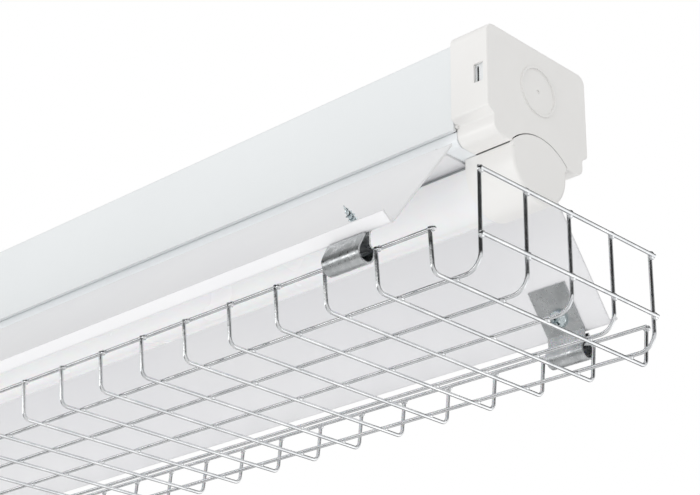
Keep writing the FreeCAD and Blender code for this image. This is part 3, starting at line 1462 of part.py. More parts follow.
def make_leads():
    """Insulated leads held inside the fitting, on straight runs and tangent bends."""
    radius, sag, grip = size("lead_radius"), size("lead_sag"), size("lead_grip")
    half_gap = size("lead_half_gap")
    block_near = size("block_place") - size("block_length") / 2 + grip
    block_far = size("block_place") + size("block_length") / 2 - grip
    driver_near, driver_far = size("driver_start") + grip, size("driver_end") - grip
    pole, plug = -size("pole_depth"), -size("driver_plug_depth")
    routes = {}
    for side, name in ((-1, "live_lead"), (1, "neutral_lead")):
        across, gap = side * size("pole_pitch"), side * half_gap
        routes[name] = (size("lead_bend"), [
            Vector(block_far, across, pole),
            Vector(block_far + grip + sag, across, pole),
            Vector(driver_near - grip - sag, gap, plug),
            Vector(driver_near, gap, plug),
        ])
    crimp = size("earth_place") + size("earth_nut_radius") + size("lead_clearance")
    rest = -size("tray_floor_depth") + size("earth_tag_sheet") + radius
    tag_end = size("earth_place") + size("earth_tag_length")
    routes["earth_lead"] = (size("earth_bend"), [
        Vector(crimp, 0, rest),
        Vector(tag_end + size("earth_bend"), 0, rest),
        Vector(tag_end + size("lead_sag"), 0, pole),
        Vector(block_near, 0, pole),
    ])
    drop = size("lead_hole_place")
    foot = -size("board_depth") - radius
    for side, name in ((-1, "led_minus_lead"), (1, "led_plus_lead")):
        gap = side * half_gap
        routes[name] = (size("led_lead_bend"), [
            Vector(driver_far, gap, plug),
            Vector(drop, gap, plug),
            Vector(drop, gap, foot),
            Vector(size("board_plug_start"), gap, foot),
        ])
    for name, (bend, route) in routes.items():
        node(group(name.title().replace("_", ""), [tube(route, bend, radius)]), name)

    # A rubber bush in the tray and a plug on the board, both round the LED leads
    radius += size("lead_clearance")
    bush = Part.makeCylinder(size("lead_hole_radius"), size("tray_sheet"),
                             Vector(drop, 0, -size("body_depth")))
    collar = Part.makeCylinder(size("lead_hole_radius") + size("bush_collar"), size("bush_collar"),
                               Vector(drop, 0, -size("tray_floor_depth")))
    whole = bush.fuse(collar)
    for side in SIDES:
        spot = Vector(drop, side * half_gap, -size("body_depth"))
        whole = whole.cut(Part.makeCylinder(radius, size("overrun"), spot))
    node(group("LeadBush", [whole]), "lead_bush")
    node(box("BoardPlug", ("board_plug_start", "-board_plug_half", "-board_plug_low"),
             ("board_plug_length", "board_plug_width", "board_plug_height")), "board_plug")


make_spine()
make_grommet()
make_end_cap()
make_tray()
make_saddles()
make_tray_screws()
make_carrier()
make_boards()
make_carrier_fixings()
make_diffuser()
make_lens_cap()
make_reflector()
make_clips()
make_guard()
make_driver()
make_terminal_block()
make_gear_screws()
make_earth()
make_leads()

doc.recompute()
for item in doc.Objects:
    if "Invalid" in item.State or "Error" in item.State:
        raise RuntimeError(f"{item.Name} failed: {item.State}")
for item in NODES:
    if item.Shape.isNull() or not item.Shape.isValid() or not item.Shape.Solids:
        raise RuntimeError(f"{item.Label} has no sound shape")

os.makedirs("parts", exist_ok=True)
for item in NODES:
    item.Shape.exportStep(f"parts/{item.Label}.step")
    print(item.Label, len(item.Shape.Solids), "solids", round(item.Shape.Volume), "cubic millimetres")
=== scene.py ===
"""Looks of the batten light with a reflector and a wire guard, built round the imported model.

All lengths are in metres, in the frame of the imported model: X runs along the batten, Z points up
and the ceiling is the plane Z = 0.
"""

import json
import math
import random

import bmesh
import bpy
from mathutils import Matrix, Vector


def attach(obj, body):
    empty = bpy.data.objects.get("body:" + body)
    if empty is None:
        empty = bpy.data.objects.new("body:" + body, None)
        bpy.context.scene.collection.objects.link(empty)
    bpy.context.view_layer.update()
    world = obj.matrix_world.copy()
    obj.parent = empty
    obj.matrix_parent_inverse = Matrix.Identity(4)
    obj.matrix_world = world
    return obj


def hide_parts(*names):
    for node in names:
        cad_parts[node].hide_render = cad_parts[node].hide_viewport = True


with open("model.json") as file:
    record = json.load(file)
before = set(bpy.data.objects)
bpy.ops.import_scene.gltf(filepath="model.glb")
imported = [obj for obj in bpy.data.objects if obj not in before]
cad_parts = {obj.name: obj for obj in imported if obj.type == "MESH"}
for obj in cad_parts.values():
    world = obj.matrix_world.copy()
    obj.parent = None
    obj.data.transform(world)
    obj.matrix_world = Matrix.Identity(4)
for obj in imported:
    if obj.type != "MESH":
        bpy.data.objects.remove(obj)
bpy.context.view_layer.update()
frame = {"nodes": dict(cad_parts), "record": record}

MM = 0.001
FULL_TURN = 2 * math.pi
random.seed(7)

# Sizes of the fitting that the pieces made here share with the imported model. A half is measured
# from the middle of the fitting, and a Z from the ceiling.
HALF_LENGTH = 304.8 * MM
WIRE_RADIUS = 0.8 * MM
RIM_HALF = 62.0 * MM
RIM_Z = -97.4 * MM
FLOOR_Z = -113.2 * MM
SIDE_LEAN = 1.7 * MM
SIDE_BEND = 3.2 * MM
ROW_HALF = 50.8 * MM
ROWS = 5
CROSS_WIRES = 25
PANEL_REACH = 12.9 * MM
PANEL_X = HALF_LENGTH + PANEL_REACH - WIRE_RADIUS
PANEL_BEND = 6.8 * MM
PANEL_RISES = (13.6 * MM, 38.7 * MM)
# How far wires run on past their last weld: rims and panel wires, long wires and cross wires
RIM_STUB = 0.3 * MM
PANEL_STUB = 0.7 * MM
SIDE_STUB = 0.1 * MM
# How far each wire is pressed past the plane in which the wires meet at a weld
WELD_PRESS = 0.2 * MM
# Steps of a bend, and how round a wire's section is
BEND_STEPS = 7
WIRE_RESOLUTION = 4
# The wing's lower edge and the direction up the wing, as Y and Z
WING_EDGE = (64.0 * MM, -91.0 * MM)
WING_RUN = (-0.60626, 0.79527)
CLIP_X = 266.7 * MM
CLIP_SCREW_RISE = 8.5 * MM
CLIP_SCREW_SEAT = 0.8 * MM
TRAY_SCREW_SPOTS = (235.0 * MM, 20.5 * MM, -46.4 * MM)

# Beads of the welds: least and greatest half width, half thickness and how uneven they are
FLOOR_BEAD = (1.5 * MM, 2.1 * MM)
PANEL_BEAD = (1.45 * MM, 1.95 * MM)
RIM_BEAD = (1.0 * MM, 1.3 * MM)
BEAD_THICKNESS = 1.05 * MM
BEAD_UNEVEN = 0.07
BEAD_DETAIL = 2
# How far the beads of the rim sit out and down from the middle of the weld
BEAD_SHIFT = 0.3 * MM
BEAD_DROP = 0.6 * MM
# Metal squeezed out beside the rim's welds, ahead of the cross wire and below the rim
WEDGE_AHEAD = 1.1 * MM
WEDGE_BELOW = 0.5 * MM

# Screws: sides of a ring, rings to one turn of the thread, the thread's ridge as a share of its
# pitch, the point's end as a share of the radius, and the head's profile and recess as shares
SCREW_SIDES = 24
THREAD_STEPS = 7
THREAD_RIDGE_SHARE = 0.24
THREAD_BLUNT = 0.05
THREAD_SHARP_ANGLE = 40
HEAD_PROFILE = ((1.0, 0.0), (1.0, 0.35), (0.94, 0.68), (0.78, 0.9), (0.56, 1.0))
RECESS_HALF = 0.5 * MM
RECESS_REACH = 0.5
RECESS_TAPER = 0.62
RECESS_DEPTH_SHARE = 0.6
CLIP_SCREW = {"radius": 1.95 * MM, "length": 11.0 * MM, "head_radius": 4.0 * MM,
              "head_height": 2.6 * MM, "pitch": 1.6 * MM, "core_share": 0.62, "tip": 4.5 * MM}
TRAY_SCREW = {"radius": 1.9 * MM, "length": 4.4 * MM, "head_radius": 4.0 * MM,
              "head_height": 2.4 * MM, "pitch": 0.7 * MM, "core_share": 0.8, "tip": 0.8 * MM}

# Finishes: the part of a noise's range that tones and gloss follow, how much of the second tone
# the grain shows, how many scuffs cross a patch, and how rubbed edges and their chips show
NOISE_LOW, NOISE_HIGH = 0.3, 0.7
GRAIN_TINT = 0.35
SCUFFS_IN_PATCH = 4
BEVEL_SAMPLES = 4
WEAR_GAIN = 6.0
WEAR_SHARE = 0.8
CHIP_SIZE = 4 * MM
CHIP_LOW, CHIP_HIGH = 0.45, 0.6

# Studio: lamps as place, side and power, and drapes as bearings, heights and glow
WORLD_LEVEL = 0.89
LAMP_TARGET = Vector((0.0, 0.0, -0.06))
LAMPS = {
    "key": ((0.9, -2.0, -0.3), 0.9, 4.4),
    "under": ((-0.7, -1.0, -1.9), 1.2, 18.0),
    "top": ((-0.6, -1.4, 1.8), 0.9, 4.0),
}
DRAPE_RADIUS = 2.6
DRAPE_STEPS = 32
DRAPES = {
    "drape_dark": (-118, 35, 0.35, 4.5, 0.045),
    "drape_left": (-160, -118, 0.5, 1.7, 0.06),
    "drape_top": (-215, -118, 1.7, 4.5, 0.25),
    "drape_line": (-165, -100, -0.2, 0.25, 3.2),
    "drape_low": (-180, -100, -2.3, -0.45, 0.36),
    "drape_far": (52, 145, 0.5, 4.5, 0.08),
    "drape_far_low": (88, 150, -2.4, -0.6, 0.3),
    "drape_bright": (15, 80, -2.4, -0.35, 1.5),
}
ROOM_HALF = 30.0
ROOM_FLOOR_Z = -2.7

# Camera, fitted to the photograph's view
SENSOR_WIDTH, LENS = 36.0, 95.37
CLIP_NEAR, CLIP_FAR = 0.05, 100.0
CAMERA_PLACE = (0.68782, -0.49779, -0.36491)
CAMERA_RIGHT = Vector((0.72145, 0.69238, 0.01087))
CAMERA_UP = Vector((0.27628, -0.3022, 0.91233))
CAMERA_FORWARD = Vector((-0.63496, 0.6552, 0.40931))

# Materials


def make_node(tree, kind, inputs=None, **settings):
    """A shader node whose inputs take numbers, colours or another node's socket."""
    made = tree.nodes.new("ShaderNode" + kind)
    for name, value in settings.items():
        setattr(made, name, value)
    for socket, value in (inputs or {}).items():
        if isinstance(value, bpy.types.NodeSocket):
            tree.links.new(value, made.inputs[socket])
        else:
            made.inputs[socket].default_value = value
    return made


def linear(colour):
    """A colour as shown on a screen, from 0 to 255, as light, by the curve of the sRGB standard."""
    shares = [channel / 255 for channel in colour]
    light = [share / 12.92 if share <= 0.04045 else ((share + 0.055) / 1.055) ** 2.4
             for share in shares]
    return (*light, 1.0)


def noise(tree, place, grain, detail=3.0, stretch=(1, 1, 1)):
    """Noise from 0 to 1 whose features are about the given size, stretched along some axes."""
    scale = tuple(1 / (grain * part) for part in stretch)
    spot = make_node(tree, "Mapping", {"Vector": place, "Scale": scale})
    return make_node(tree, "TexNoise", {"Vector": spot.outputs["Vector"], "Scale": 1.0,
                                        "Detail": detail}).outputs["Fac"]


def spread(tree, value, low, high, start=NOISE_LOW, end=NOISE_HIGH):
    """The value carried smoothly from start..end to low..high."""
    return make_node(tree, "MapRange", {"Value": value, "From Min": start, "From Max": end,
                                        "To Min": low, "To Max": high},
                     interpolation_type="SMOOTHSTEP").outputs["Result"]


def mix(tree, share, one, other):
    """One colour turning into the other as the share goes from 0 to 1."""
    made = make_node(tree, "Mix", {0: share}, data_type="RGBA")
    for index, value in ((6, one), (7, other)):
        if isinstance(value, bpy.types.NodeSocket):
            tree.links.new(value, made.inputs[index])
        else:
            made.inputs[index].default_value = value
    return made.outputs[2]


def edge_share(tree, radius, gain):
    """Near 1 on sharp edges and 0 on flats, from how far a rounded normal leaves the real one."""
    rounded = make_node(tree, "Bevel", {"Radius": radius}, samples=BEVEL_SAMPLES).outputs["Normal"]
    real = make_node(tree, "NewGeometry").outputs["Normal"]
    dot = make_node(tree, "VectorMath", {0: rounded, 1: real}, operation="DOT_PRODUCT")
    bend = make_node(tree, "Math", {0: 1.0, 1: dot.outputs["Value"]}, operation="SUBTRACT")
    return make_node(tree, "Math", {0: bend.outputs["Value"], 1: gain}, operation="MULTIPLY",
                     use_clamp=True).outputs["Value"]


def surface(name, colour, drift, roughness, metallic=0.0, patch=30 * MM, grain=1 * MM, bump=0.1,
            depth=0.05 * MM, rough_spread=0.06, stretch=(1, 1, 1), detail=4.0, wear=None,
            wear_radius=0.4 * MM, edge=0.0, **constants):
    """A finish whose tone drifts over patches, with a fine grain in its gloss and its height.

    drift is the second tone, patch and grain the sizes of what drifts and of the fine grain, detail
    how finely the grain breaks up, bump and depth how much the grain stands out, wear the tone of
    rubbed edges and edge the radius to which sharp edges look rounded. The constants go straight
    to the shader's inputs.
    """
    made = bpy.data.materials.new(name)
    made.use_nodes = True
    tree = made.node_tree
    shader = tree.nodes["Principled BSDF"]
    place = make_node(tree, "TexCoord").outputs["Object"]
    broad = noise(tree, place, patch, detail=2.0)
    fine = noise(tree, place, grain, detail=detail, stretch=stretch)
    tone = mix(tree, spread(tree, broad, 0.0, 1.0), linear(colour), linear(drift))
    grain_tone = mix(tree, spread(tree, fine, 0.0, GRAIN_TINT), tone, linear(drift))
    if wear:
        rubbed = edge_share(tree, wear_radius, WEAR_GAIN)
        chips = spread(tree, noise(tree, place, CHIP_SIZE, detail=4.0), 0.0, WEAR_SHARE,
                       CHIP_LOW, CHIP_HIGH)
        share = make_node(tree, "Math", {0: rubbed, 1: chips}, operation="MULTIPLY")
        grain_tone = mix(tree, share.outputs["Value"], grain_tone, linear(wear))
    tree.links.new(grain_tone, shader.inputs["Base Color"])
    scuffs = noise(tree, place, patch / SCUFFS_IN_PATCH, detail=detail)
    gloss = make_node(tree, "Math", {0: spread(tree, scuffs, -rough_spread, rough_spread),
                                     1: spread(tree, fine, roughness - rough_spread / 2,
                                               roughness + rough_spread / 2)},
                      operation="ADD", use_clamp=True).outputs["Value"]
    tree.links.new(gloss, shader.inputs["Roughness"])
    height = {"Strength": bump, "Distance": depth, "Height": fine}
    if edge:
        rounded = make_node(tree, "Bevel", {"Radius": edge}, samples=BEVEL_SAMPLES)
        height["Normal"] = rounded.outputs["Normal"]
    tree.links.new(make_node(tree, "Bump", height).outputs["Normal"], shader.inputs["Normal"])
    shader.inputs["Metallic"].default_value = metallic
    for socket, value in constants.items():
        shader.inputs[socket.replace("_", " ")].default_value = value
    return made


MATERIALS = {
    "spine_paint": surface("spine_paint", (236, 239, 240), (234, 237, 238), 0.36, grain=9 * MM,
                           detail=0.0, bump=0.01, patch=80 * MM, rough_spread=0.015,
                           wear=(228, 230, 232), edge=0.3 * MM),
    # The tray's paint is lighter than the spine's as painted light: the extra lightness offsets the
    # shade its band gets under the spine's edge. Its blue tint is its own.
    "tray_paint": surface("tray_paint", (241, 244, 246), (239, 242, 244), 0.36, grain=9 * MM,
                          detail=0.0, bump=0.01, patch=80 * MM, rough_spread=0.015,
                          wear=(230, 232, 234), edge=0.3 * MM),
    "reflector_paint": surface("reflector_paint", (235, 235, 236), (233, 233, 235), 0.3,
                               grain=9 * MM, detail=0.0, bump=0.01, patch=80 * MM,
                               rough_spread=0.012, wear=(222, 222, 224), edge=0.3 * MM),
    "cap_plastic": surface("cap_plastic", (241, 240, 238), (239, 238, 236), 0.34, grain=6 * MM,
                           detail=0.0, bump=0.01, patch=40 * MM, rough_spread=0.015,
                           wear=(232, 231, 228),
                           wear_radius=0.2 * MM, edge=0.12 * MM),
    "diffuser_opal": surface("diffuser_opal", (246, 246, 247), (244, 244, 245), 0.26,
                             grain=12 * MM, detail=0.0, bump=0.01, patch=90 * MM,
                             rough_spread=0.012, edge=0.2 * MM,
                             Subsurface_Weight=0.2, Subsurface_Scale=1 * MM),
    "guard_wire": surface("guard_wire", (230, 231, 232), (208, 210, 212), 0.15, 1.0, grain=0.8 * MM,
                          bump=0.3, depth=0.05 * MM, patch=9 * MM, rough_spread=0.08),
    "clip_steel": surface("clip_steel", (213, 215, 216), (186, 189, 190), 0.34, 1.0,
                          grain=0.3 * MM, bump=0.15, depth=0.02 * MM, patch=7 * MM,
                          stretch=(1, 60, 60), detail=2.0, rough_spread=0.1, wear=(212, 213, 215),
                          edge=0.15 * MM),
    "screw_zinc": surface("screw_zinc", (224, 233, 235), (184, 197, 201), 0.18, 1.0, grain=0.5 * MM,
                          bump=0.15, depth=0.03 * MM, patch=2 * MM, rough_spread=0.1,
                          edge=0.08 * MM),
    "saddle_steel": surface("saddle_steel", (186, 188, 190), (150, 152, 155), 0.4, 1.0,
                            grain=1.5 * MM, bump=0.2, patch=6 * MM, rough_spread=0.12),
    "carrier_aluminium": surface("carrier_aluminium", (205, 206, 208), (188, 190, 192), 0.35, 1.0,
                                 grain=0.3 * MM, bump=0.25, depth=0.03 * MM, stretch=(40, 1, 1)),
    "board_laminate": surface("board_laminate", (238, 239, 236), (231, 232, 228), 0.45,
                              grain=0.5 * MM, bump=0.1),
    "led_phosphor": surface("led_phosphor", (236, 205, 92), (226, 190, 70), 0.35, grain=0.2 * MM,
                            bump=0.1, patch=3 * MM),
    "driver_plastic": surface("driver_plastic", (226, 227, 226), (219, 220, 218), 0.48,
                              grain=0.4 * MM, bump=0.25, depth=0.03 * MM),
    "driver_laminate": surface("driver_laminate", (40, 98, 58), (30, 80, 46), 0.35,
                               grain=0.8 * MM, bump=0.1),
    "coil_tape": surface("coil_tape", (214, 178, 46), (200, 160, 34), 0.4, grain=0.6 * MM,
                         bump=0.2, stretch=(1, 1, 6)),
    "can_sleeve": surface("can_sleeve", (34, 37, 46), (26, 28, 36), 0.32, grain=0.5 * MM,
                          bump=0.1),
    "terminal_plastic": surface("terminal_plastic", (233, 232, 226), (226, 225, 217), 0.4,
                                grain=0.4 * MM, bump=0.15),
    "terminal_brass": surface("terminal_brass", (196, 164, 92), (172, 138, 70), 0.3, 1.0,
                              grain=0.4 * MM, bump=0.15),
    "bush_rubber": surface("bush_rubber", (44, 44, 45), (34, 34, 35), 0.6, grain=0.4 * MM,
                           bump=0.3),
    "lead_brown": surface("lead_brown", (112, 70, 44), (98, 60, 38), 0.42, grain=0.6 * MM,
                          bump=0.1),
    "lead_blue": surface("lead_blue", (42, 82, 160), (34, 70, 142), 0.42, grain=0.6 * MM,
                         bump=0.1),
    "lead_green_yellow": surface("lead_green_yellow", (196, 190, 50), (70, 140, 60), 0.42,
                                 grain=0.6 * MM, bump=0.1, patch=4 * MM),
    "lead_red": surface("lead_red", (176, 40, 36), (158, 34, 30), 0.42, grain=0.6 * MM, bump=0.1),
    "lead_black": surface("lead_black", (38, 38, 40), (28, 28, 30), 0.42, grain=0.6 * MM,
                          bump=0.1),
}


def dress_frame():
    """Gives each carried-over node the finish of its slot in the record."""
    slots = {part["node"]: part["material_slot"] for part in frame["record"]["subparts"]}
    for name, obj in frame["nodes"].items():
        slot = slots[name]
        obj.data.materials.clear()
        obj.data.materials.append(MATERIALS[slot])


# Shapes


def piece(name, mesh_or_curve, slot, body, *nodes):
    """Puts a new piece in the scene, on its body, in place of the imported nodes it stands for."""
    obj = bpy.data.objects.new(name, mesh_or_curve)
    bpy.context.scene.collection.objects.link(obj)
    mesh_or_curve.materials.append(MATERIALS[slot])
    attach(obj, body)
    if nodes:
        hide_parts(*nodes)
    return obj


def rounded_path(points, radius):
    """The points with an arc of the radius at each inner corner."""
    path = [points[0]]
    for before, corner, after in zip(points, points[1:], points[2:]):
        inward, outward = (corner - before).normalized(), (after - corner).normalized()
        turn = inward.angle(outward)
        reach = radius * math.tan(turn / 2)
        centre = corner + (outward - inward).normalized() * (radius / math.cos(turn / 2))
        start = corner - inward * reach - centre
        axis = inward.cross(outward)
        for step in range(BEND_STEPS + 1):
            path.append(centre + Matrix.Rotation(turn * step / BEND_STEPS, 3, axis) @ start)
    path.append(points[-1])
    return path


def wire_curve(name, paths):
    """Round wires along the paths, with closed ends."""
    curve = bpy.data.curves.new(name, "CURVE")
    curve.dimensions = "3D"
    curve.bevel_depth = WIRE_RADIUS
    curve.bevel_resolution = WIRE_RESOLUTION
    curve.use_fill_caps = True
    for path in paths:
        spline = curve.splines.new("POLY")
        spline.points.add(len(path) - 1)
        for point, place in zip(spline.points, path):
            point.co = (*place, 1.0)
    return curve


def cross_wire_places():
    """Where the cross wires stand along X."""
    pitch = 2 * HALF_LENGTH / (CROSS_WIRES - 1)
    return [index * pitch - HALF_LENGTH for index in range(CROSS_WIRES)]


def row_places():
    """Where the long wires stand along Y."""
    return [(2 * index / (ROWS - 1) - 1) * ROW_HALF for index in range(ROWS)]


def guard_paths():
    """The paths of the guard's wires, by the node that they stand for."""
    apart = WIRE_RADIUS - WELD_PRESS
    side_top = RIM_HALF + WIRE_RADIUS + apart
    side_foot = side_top - SIDE_LEAN
    high, low = RIM_Z + SIDE_STUB, FLOOR_Z - apart
    corners = ((-side_top, high), (-side_foot, low), (side_foot, low), (side_top, high))
    cross = [rounded_path([Vector((x, y, z)) for y, z in corners], SIDE_BEND)
             for x in cross_wire_places()]
    high, low = FLOOR_Z + PANEL_RISES[1] + WIRE_RADIUS + PANEL_STUB, FLOOR_Z + apart
    corners = ((-PANEL_X, high), (-PANEL_X, low), (PANEL_X, low), (PANEL_X, high))
    long_wires = [rounded_path([Vector((x, y, z)) for x, z in corners], PANEL_BEND)
                  for y in row_places()]
    reach = HALF_LENGTH + WIRE_RADIUS + RIM_STUB
    rims = [[Vector((-reach, y, RIM_Z)), Vector((reach, y, RIM_Z))] for y in (-RIM_HALF, RIM_HALF)]
    span = ROW_HALF + WIRE_RADIUS + RIM_STUB
    panel = PANEL_X + WIRE_RADIUS + apart
    ends = [[Vector((x, -span, FLOOR_Z + rise)), Vector((x, span, FLOOR_Z + rise))]
            for x in (-panel, panel) for rise in PANEL_RISES]
    return {"guard_cross_wires": cross, "guard_long_wires": long_wires,
            "guard_rim_wires": rims, "guard_end_wires": ends}


def weld_places():
    """Where two wires of the guard meet, the direction from one wire to the other, and the bead."""
    places = []
    for x in cross_wire_places():
        places += [(Vector((x, y, FLOOR_Z)), Vector((0, 0, 1)), FLOOR_BEAD) for y in row_places()]
        for side in (-1, 1):
            across = Vector((0, side, 0))
            meet = side * (RIM_HALF + WIRE_RADIUS)
            bead = Vector((x, meet + side * BEAD_SHIFT, RIM_Z - BEAD_DROP))
            wedge = Vector((x + WEDGE_AHEAD, meet, RIM_Z - WEDGE_BELOW))
            places += [(bead, across, RIM_BEAD), (wedge, across, RIM_BEAD)]
    for y in row_places():
        for end in (-1, 1):
            x = end * (PANEL_X + WIRE_RADIUS)
            places += [(Vector((x, y, FLOOR_Z + rise)), Vector((end, 0, 0)), PANEL_BEAD)
                       for rise in PANEL_RISES]
    return places


def weld_mesh(name):
    """A squeezed, uneven bead of metal at each weld."""
    mesh = bpy.data.meshes.new(name)
    build = bmesh.new()
    for place, across, bead_spread in weld_places():
        turn = across.to_track_quat("Z", "Y").to_matrix().to_4x4()
        spin = Matrix.Rotation(random.uniform(0, FULL_TURN), 4, "Z")
        size = [random.uniform(*bead_spread), random.uniform(*bead_spread), BEAD_THICKNESS]
        bead = bmesh.ops.create_icosphere(build, subdivisions=BEAD_DETAIL, radius=1.0)
        stretch = Matrix.Diagonal((*size, 1.0))
        for vertex in bead["verts"]:
            uneven = 1 + random.uniform(-BEAD_UNEVEN, BEAD_UNEVEN)
            vertex.co = Matrix.Translation(place) @ turn @ spin @ stretch @ (vertex.co * uneven)
    for face in build.faces:
        face.smooth = True
    build.to_mesh(mesh)
    build.free()
    return mesh


def make_guard():
    """The guard's wires with true bends and pressed welds, and the welds' beads."""
    for node, paths in guard_paths().items():
        piece(node.replace("guard_", "guard_smooth_"), wire_curve(node, paths), "guard_wire",
              "guard", node)
    piece("guard_weld_beads", weld_mesh("guard_weld_beads"), "guard_wire", "guard")


def add_ring(build, radii, height):
    """A closed ring of vertices at one height, one vertex for each radius."""
    step = FULL_TURN / len(radii)
    ring = []
    for index, radius in enumerate(radii):
        angle = index * step
        ring.append(build.verts.new((radius * math.cos(angle), radius * math.sin(angle), height)))
    return ring


def join_rings(build, one, other):
    """Faces between two rings of the same number of vertices."""
    for index in range(len(one)):
        after = (index + 1) % len(one)
        build.faces.new((one[index], one[after], other[after], other[index]))


def close_ring(build, ring, height):
    """Faces from a ring to a point on the axis."""
    point = build.verts.new((0, 0, height))
    for index, vertex in enumerate(ring):
        build.faces.new((vertex, ring[(index + 1) % len(ring)], point))


def zip_rings(build, outer, inner):
    """Triangles between two rings with different numbers of vertices, in order of their angles."""
    def angle(vertex):
        return math.atan2(vertex.co.y, vertex.co.x) % FULL_TURN

    def ordered(ring):
        ring = sorted(ring, key=angle)
        return ring + [ring[0]], [angle(vertex) for vertex in ring] + [angle(ring[0]) + FULL_TURN]

    (outside, outside_angles), (inside, inside_angles) = ordered(outer), ordered(inner)
    here, there = 0, 0
    while here < len(outer) or there < len(inner):
        outer_left, inner_left = here < len(outer), there < len(inner)
        if not inner_left or (outer_left and outside_angles[here + 1] <= inside_angles[there + 1]):
            build.faces.new((outside[here], outside[here + 1], inside[there]))
            here += 1
        else:
            build.faces.new((outside[here], inside[there + 1], inside[there]))
            there += 1


def add_cross(build, reach, half, height):
    """The twelve corners of a cross about the axis."""
    corners = []
    for turn in range(4):
        quarter = Matrix.Rotation(turn * FULL_TURN / 4, 3, "Z")
        corners += [quarter @ Vector((across, along, height))
                    for across, along in ((reach, -half), (reach, half), (half, half))]
    return [build.verts.new(corner) for corner in corners]


def thread_radius(height, angle, crest, core, pitch):
    """The radius of a thread: a sharp ridge wound round a core."""
    across = abs((height / pitch - angle / FULL_TURN) % 1.0 - 0.5)
    return core + (crest - core) * max(0.0, 1 - across / THREAD_RIDGE_SHARE)


def add_screw(build, radius, length, head_radius, head_height, pitch, core_share, tip):
    """A pan-head screw along Z, its head below the plane Z = 0 and its thread above it."""
    start = len(build.verts)
    core = radius * core_share
    rings = []
    steps = round(length / pitch * THREAD_STEPS)
    for index in range(steps + 1):
        height = length * (1 - index / steps)
        narrow = min(1.0, THREAD_BLUNT + (length - height) / tip)
        radii = [narrow * thread_radius(height, side * FULL_TURN / SCREW_SIDES, radius, core, pitch)
                 for side in range(SCREW_SIDES)]
        rings.append(add_ring(build, radii, height))
    close_ring(build, rings[0], length)
    for wide, low in HEAD_PROFILE:
        rings.append(add_ring(build, [head_radius * wide] * SCREW_SIDES, -head_height * low))
    for one, other in zip(rings, rings[1:]):
        join_rings(build, one, other)
    mouth = add_cross(build, head_radius * RECESS_REACH, RECESS_HALF, -head_height)
    zip_rings(build, rings[-1], mouth)
    floor = -head_height * (1 - RECESS_DEPTH_SHARE)
    foot = add_cross(build, head_radius * RECESS_REACH * RECESS_TAPER,
                     RECESS_HALF * RECESS_TAPER, floor)
    join_rings(build, mouth, foot)
    close_ring(build, foot, floor)
    build.verts.ensure_lookup_table()
    return build.verts[start:]


def screw_mesh(name, spots, **sizes):
    """One screw at each spot, a place and the direction of its point."""
    mesh = bpy.data.meshes.new(name)
    build = bmesh.new()
    for place, axis in spots:
        turn = axis.to_track_quat("Z", "Y").to_matrix().to_4x4()
        spin = Matrix.Rotation(random.uniform(0, FULL_TURN), 4, "Z")
        for vertex in add_screw(build, **sizes):
            vertex.co = Matrix.Translation(place) @ turn @ spin @ vertex.co
    bmesh.ops.recalc_face_normals(build, faces=build.faces)
    for face in build.faces:
        face.smooth = True
    build.to_mesh(mesh)
    build.free()
    mesh.set_sharp_from_angle(angle=math.radians(THREAD_SHARP_ANGLE))
    return mesh


def make_screws():
    """Tapping screws that clamp the clips, and machine screws that clamp the reflector."""
    spots = []
    for side in (-1, 1):
        run = Vector((0, side * WING_RUN[0], WING_RUN[1]))
        outward = Vector((0, side * WING_RUN[1], -WING_RUN[0]))
        for end in (-1, 1):
            edge = Vector((end * CLIP_X, side * WING_EDGE[0], WING_EDGE[1]))
            spots.append((edge + run * CLIP_SCREW_RISE - outward * CLIP_SCREW_SEAT, outward))
    mesh = screw_mesh("clip_screws_threaded", spots, **CLIP_SCREW)
    piece("clip_screws_threaded", mesh, "screw_zinc", "root", "clip_screws")
    x, y, z = TRAY_SCREW_SPOTS
    spots = [(Vector((end * x, side * y, z)), Vector((0, 0, 1)))
             for end in (-1, 1) for side in (-1, 1)]
    mesh = screw_mesh("tray_screws_threaded", spots, **TRAY_SCREW)
    piece("tray_screws_threaded", mesh, "screw_zinc", "root", "tray_screws")


# Stage


def make_floor():
    """A plain pale floor, a room's height under the ceiling plane."""
    mesh = bpy.data.meshes.new("floor")
    corners = [(side * ROOM_HALF, end * ROOM_HALF, ROOM_FLOOR_Z)
               for side, end in ((-1, -1), (1, -1), (1, 1), (-1, 1))]
    mesh.from_pydata(corners, [], [(0, 1, 2, 3)])
    floor = bpy.data.objects.new("floor", mesh)
    bpy.context.scene.collection.objects.link(floor)
    mesh.materials.append(surface("floor_paint", (240, 240, 240), (238, 238, 238), 0.8, patch=0.4,
                                  grain=5 * MM, bump=0.02))


def make_drape(name, start, end, low, high, glow):
    """A curved screen round the object, between two bearings, that only reflections show."""
    mesh = bpy.data.meshes.new(name)
    build = bmesh.new()
    columns = []
    for index in range(DRAPE_STEPS + 1):
        bearing = math.radians(start + (end - start) * index / DRAPE_STEPS)
        x, y = DRAPE_RADIUS * math.cos(bearing), DRAPE_RADIUS * math.sin(bearing)
        columns.append([build.verts.new((x, y, z)) for z in (low, high)])
    for one, other in zip(columns, columns[1:]):
        build.faces.new((one[0], other[0], other[1], one[1]))
    build.to_mesh(mesh)
    build.free()
    cloth = bpy.data.materials.new(name)
    cloth.use_nodes = True
    tree = cloth.node_tree
    tree.nodes.clear()
    light = make_node(tree, "Emission", {"Color": (glow, glow, glow, 1.0), "Strength": 1.0})
    make_node(tree, "OutputMaterial", {"Surface": light.outputs[0]})
    cloth.cycles.emission_sampling = "NONE"
    mesh.materials.append(cloth)
    drape = bpy.data.objects.new(name, mesh)
    bpy.context.scene.collection.objects.link(drape)
    for kind in ("camera", "diffuse", "transmission", "volume_scatter", "shadow"):
        setattr(drape, "visible_" + kind, False)


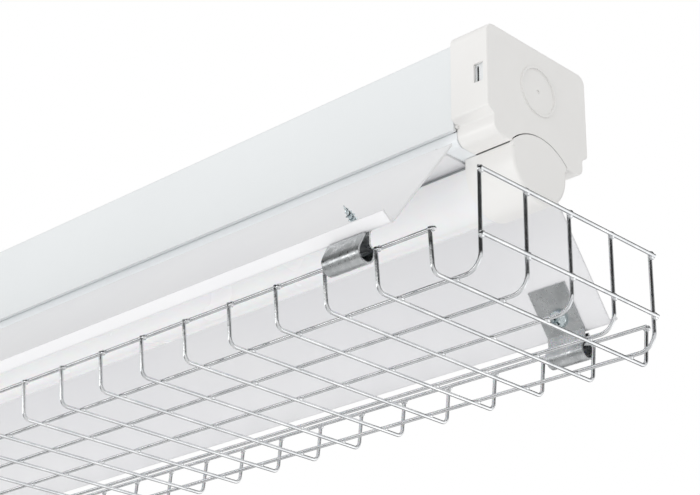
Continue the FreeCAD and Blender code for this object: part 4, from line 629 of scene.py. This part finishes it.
def make_lamp(name, place, side, power):
    """A square soft light that neither the camera nor reflections show."""
    data = bpy.data.lights.new(name, "AREA")
    data.shape = "SQUARE"
    data.size = side
    data.energy = power
    lamp = bpy.data.objects.new(name, data)
    bpy.context.scene.collection.objects.link(lamp)
    lamp.location = place
    lamp.rotation_mode = "QUATERNION"
    lamp.rotation_quaternion = (LAMP_TARGET - Vector(place)).to_track_quat("-Z", "Y")
    lamp.visible_camera = lamp.visible_glossy = False


def make_world():
    """A white backdrop for what is seen, and a plain level of light on the object."""
    world = bpy.data.worlds.new("studio")
    bpy.context.scene.world = world
    world.use_nodes = True
    tree = world.node_tree
    tree.nodes.clear()
    path = make_node(tree, "LightPath")
    seen = path.outputs["Is Camera Ray"]
    for kind in ("Is Glossy Ray", "Is Transmission Ray"):
        seen = make_node(tree, "Math", {0: seen, 1: path.outputs[kind]},
                         operation="MAXIMUM").outputs["Value"]
    plain = make_node(tree, "Background", {"Color": (1, 1, 1, 1), "Strength": WORLD_LEVEL})
    white = make_node(tree, "Background", {"Color": (1, 1, 1, 1), "Strength": 1.0})
    whole = make_node(tree, "MixShader", {0: seen, 1: plain.outputs[0], 2: white.outputs[0]})
    make_node(tree, "OutputWorld", {"Surface": whole.outputs[0]})


def make_camera():
    """The photograph's view: from below, off the near corner of the right end."""
    data = bpy.data.cameras.new("camera")
    data.sensor_width = SENSOR_WIDTH
    data.lens = LENS
    data.clip_start, data.clip_end = CLIP_NEAR, CLIP_FAR
    camera = bpy.data.objects.new("camera", data)
    bpy.context.scene.collection.objects.link(camera)
    turn = Matrix((CAMERA_RIGHT, CAMERA_UP, -CAMERA_FORWARD)).transposed().to_4x4()
    camera.matrix_world = Matrix.Translation(CAMERA_PLACE) @ turn
    bpy.context.scene.camera = camera


dress_frame()
make_guard()
make_screws()
make_floor()
make_world()
for lamp_name, lamp_settings in LAMPS.items():
    make_lamp(lamp_name, *lamp_settings)
for drape_name, drape_settings in DRAPES.items():
    make_drape(drape_name, *drape_settings)
make_camera()

bpy.context.scene.view_settings.view_transform = "Standard"
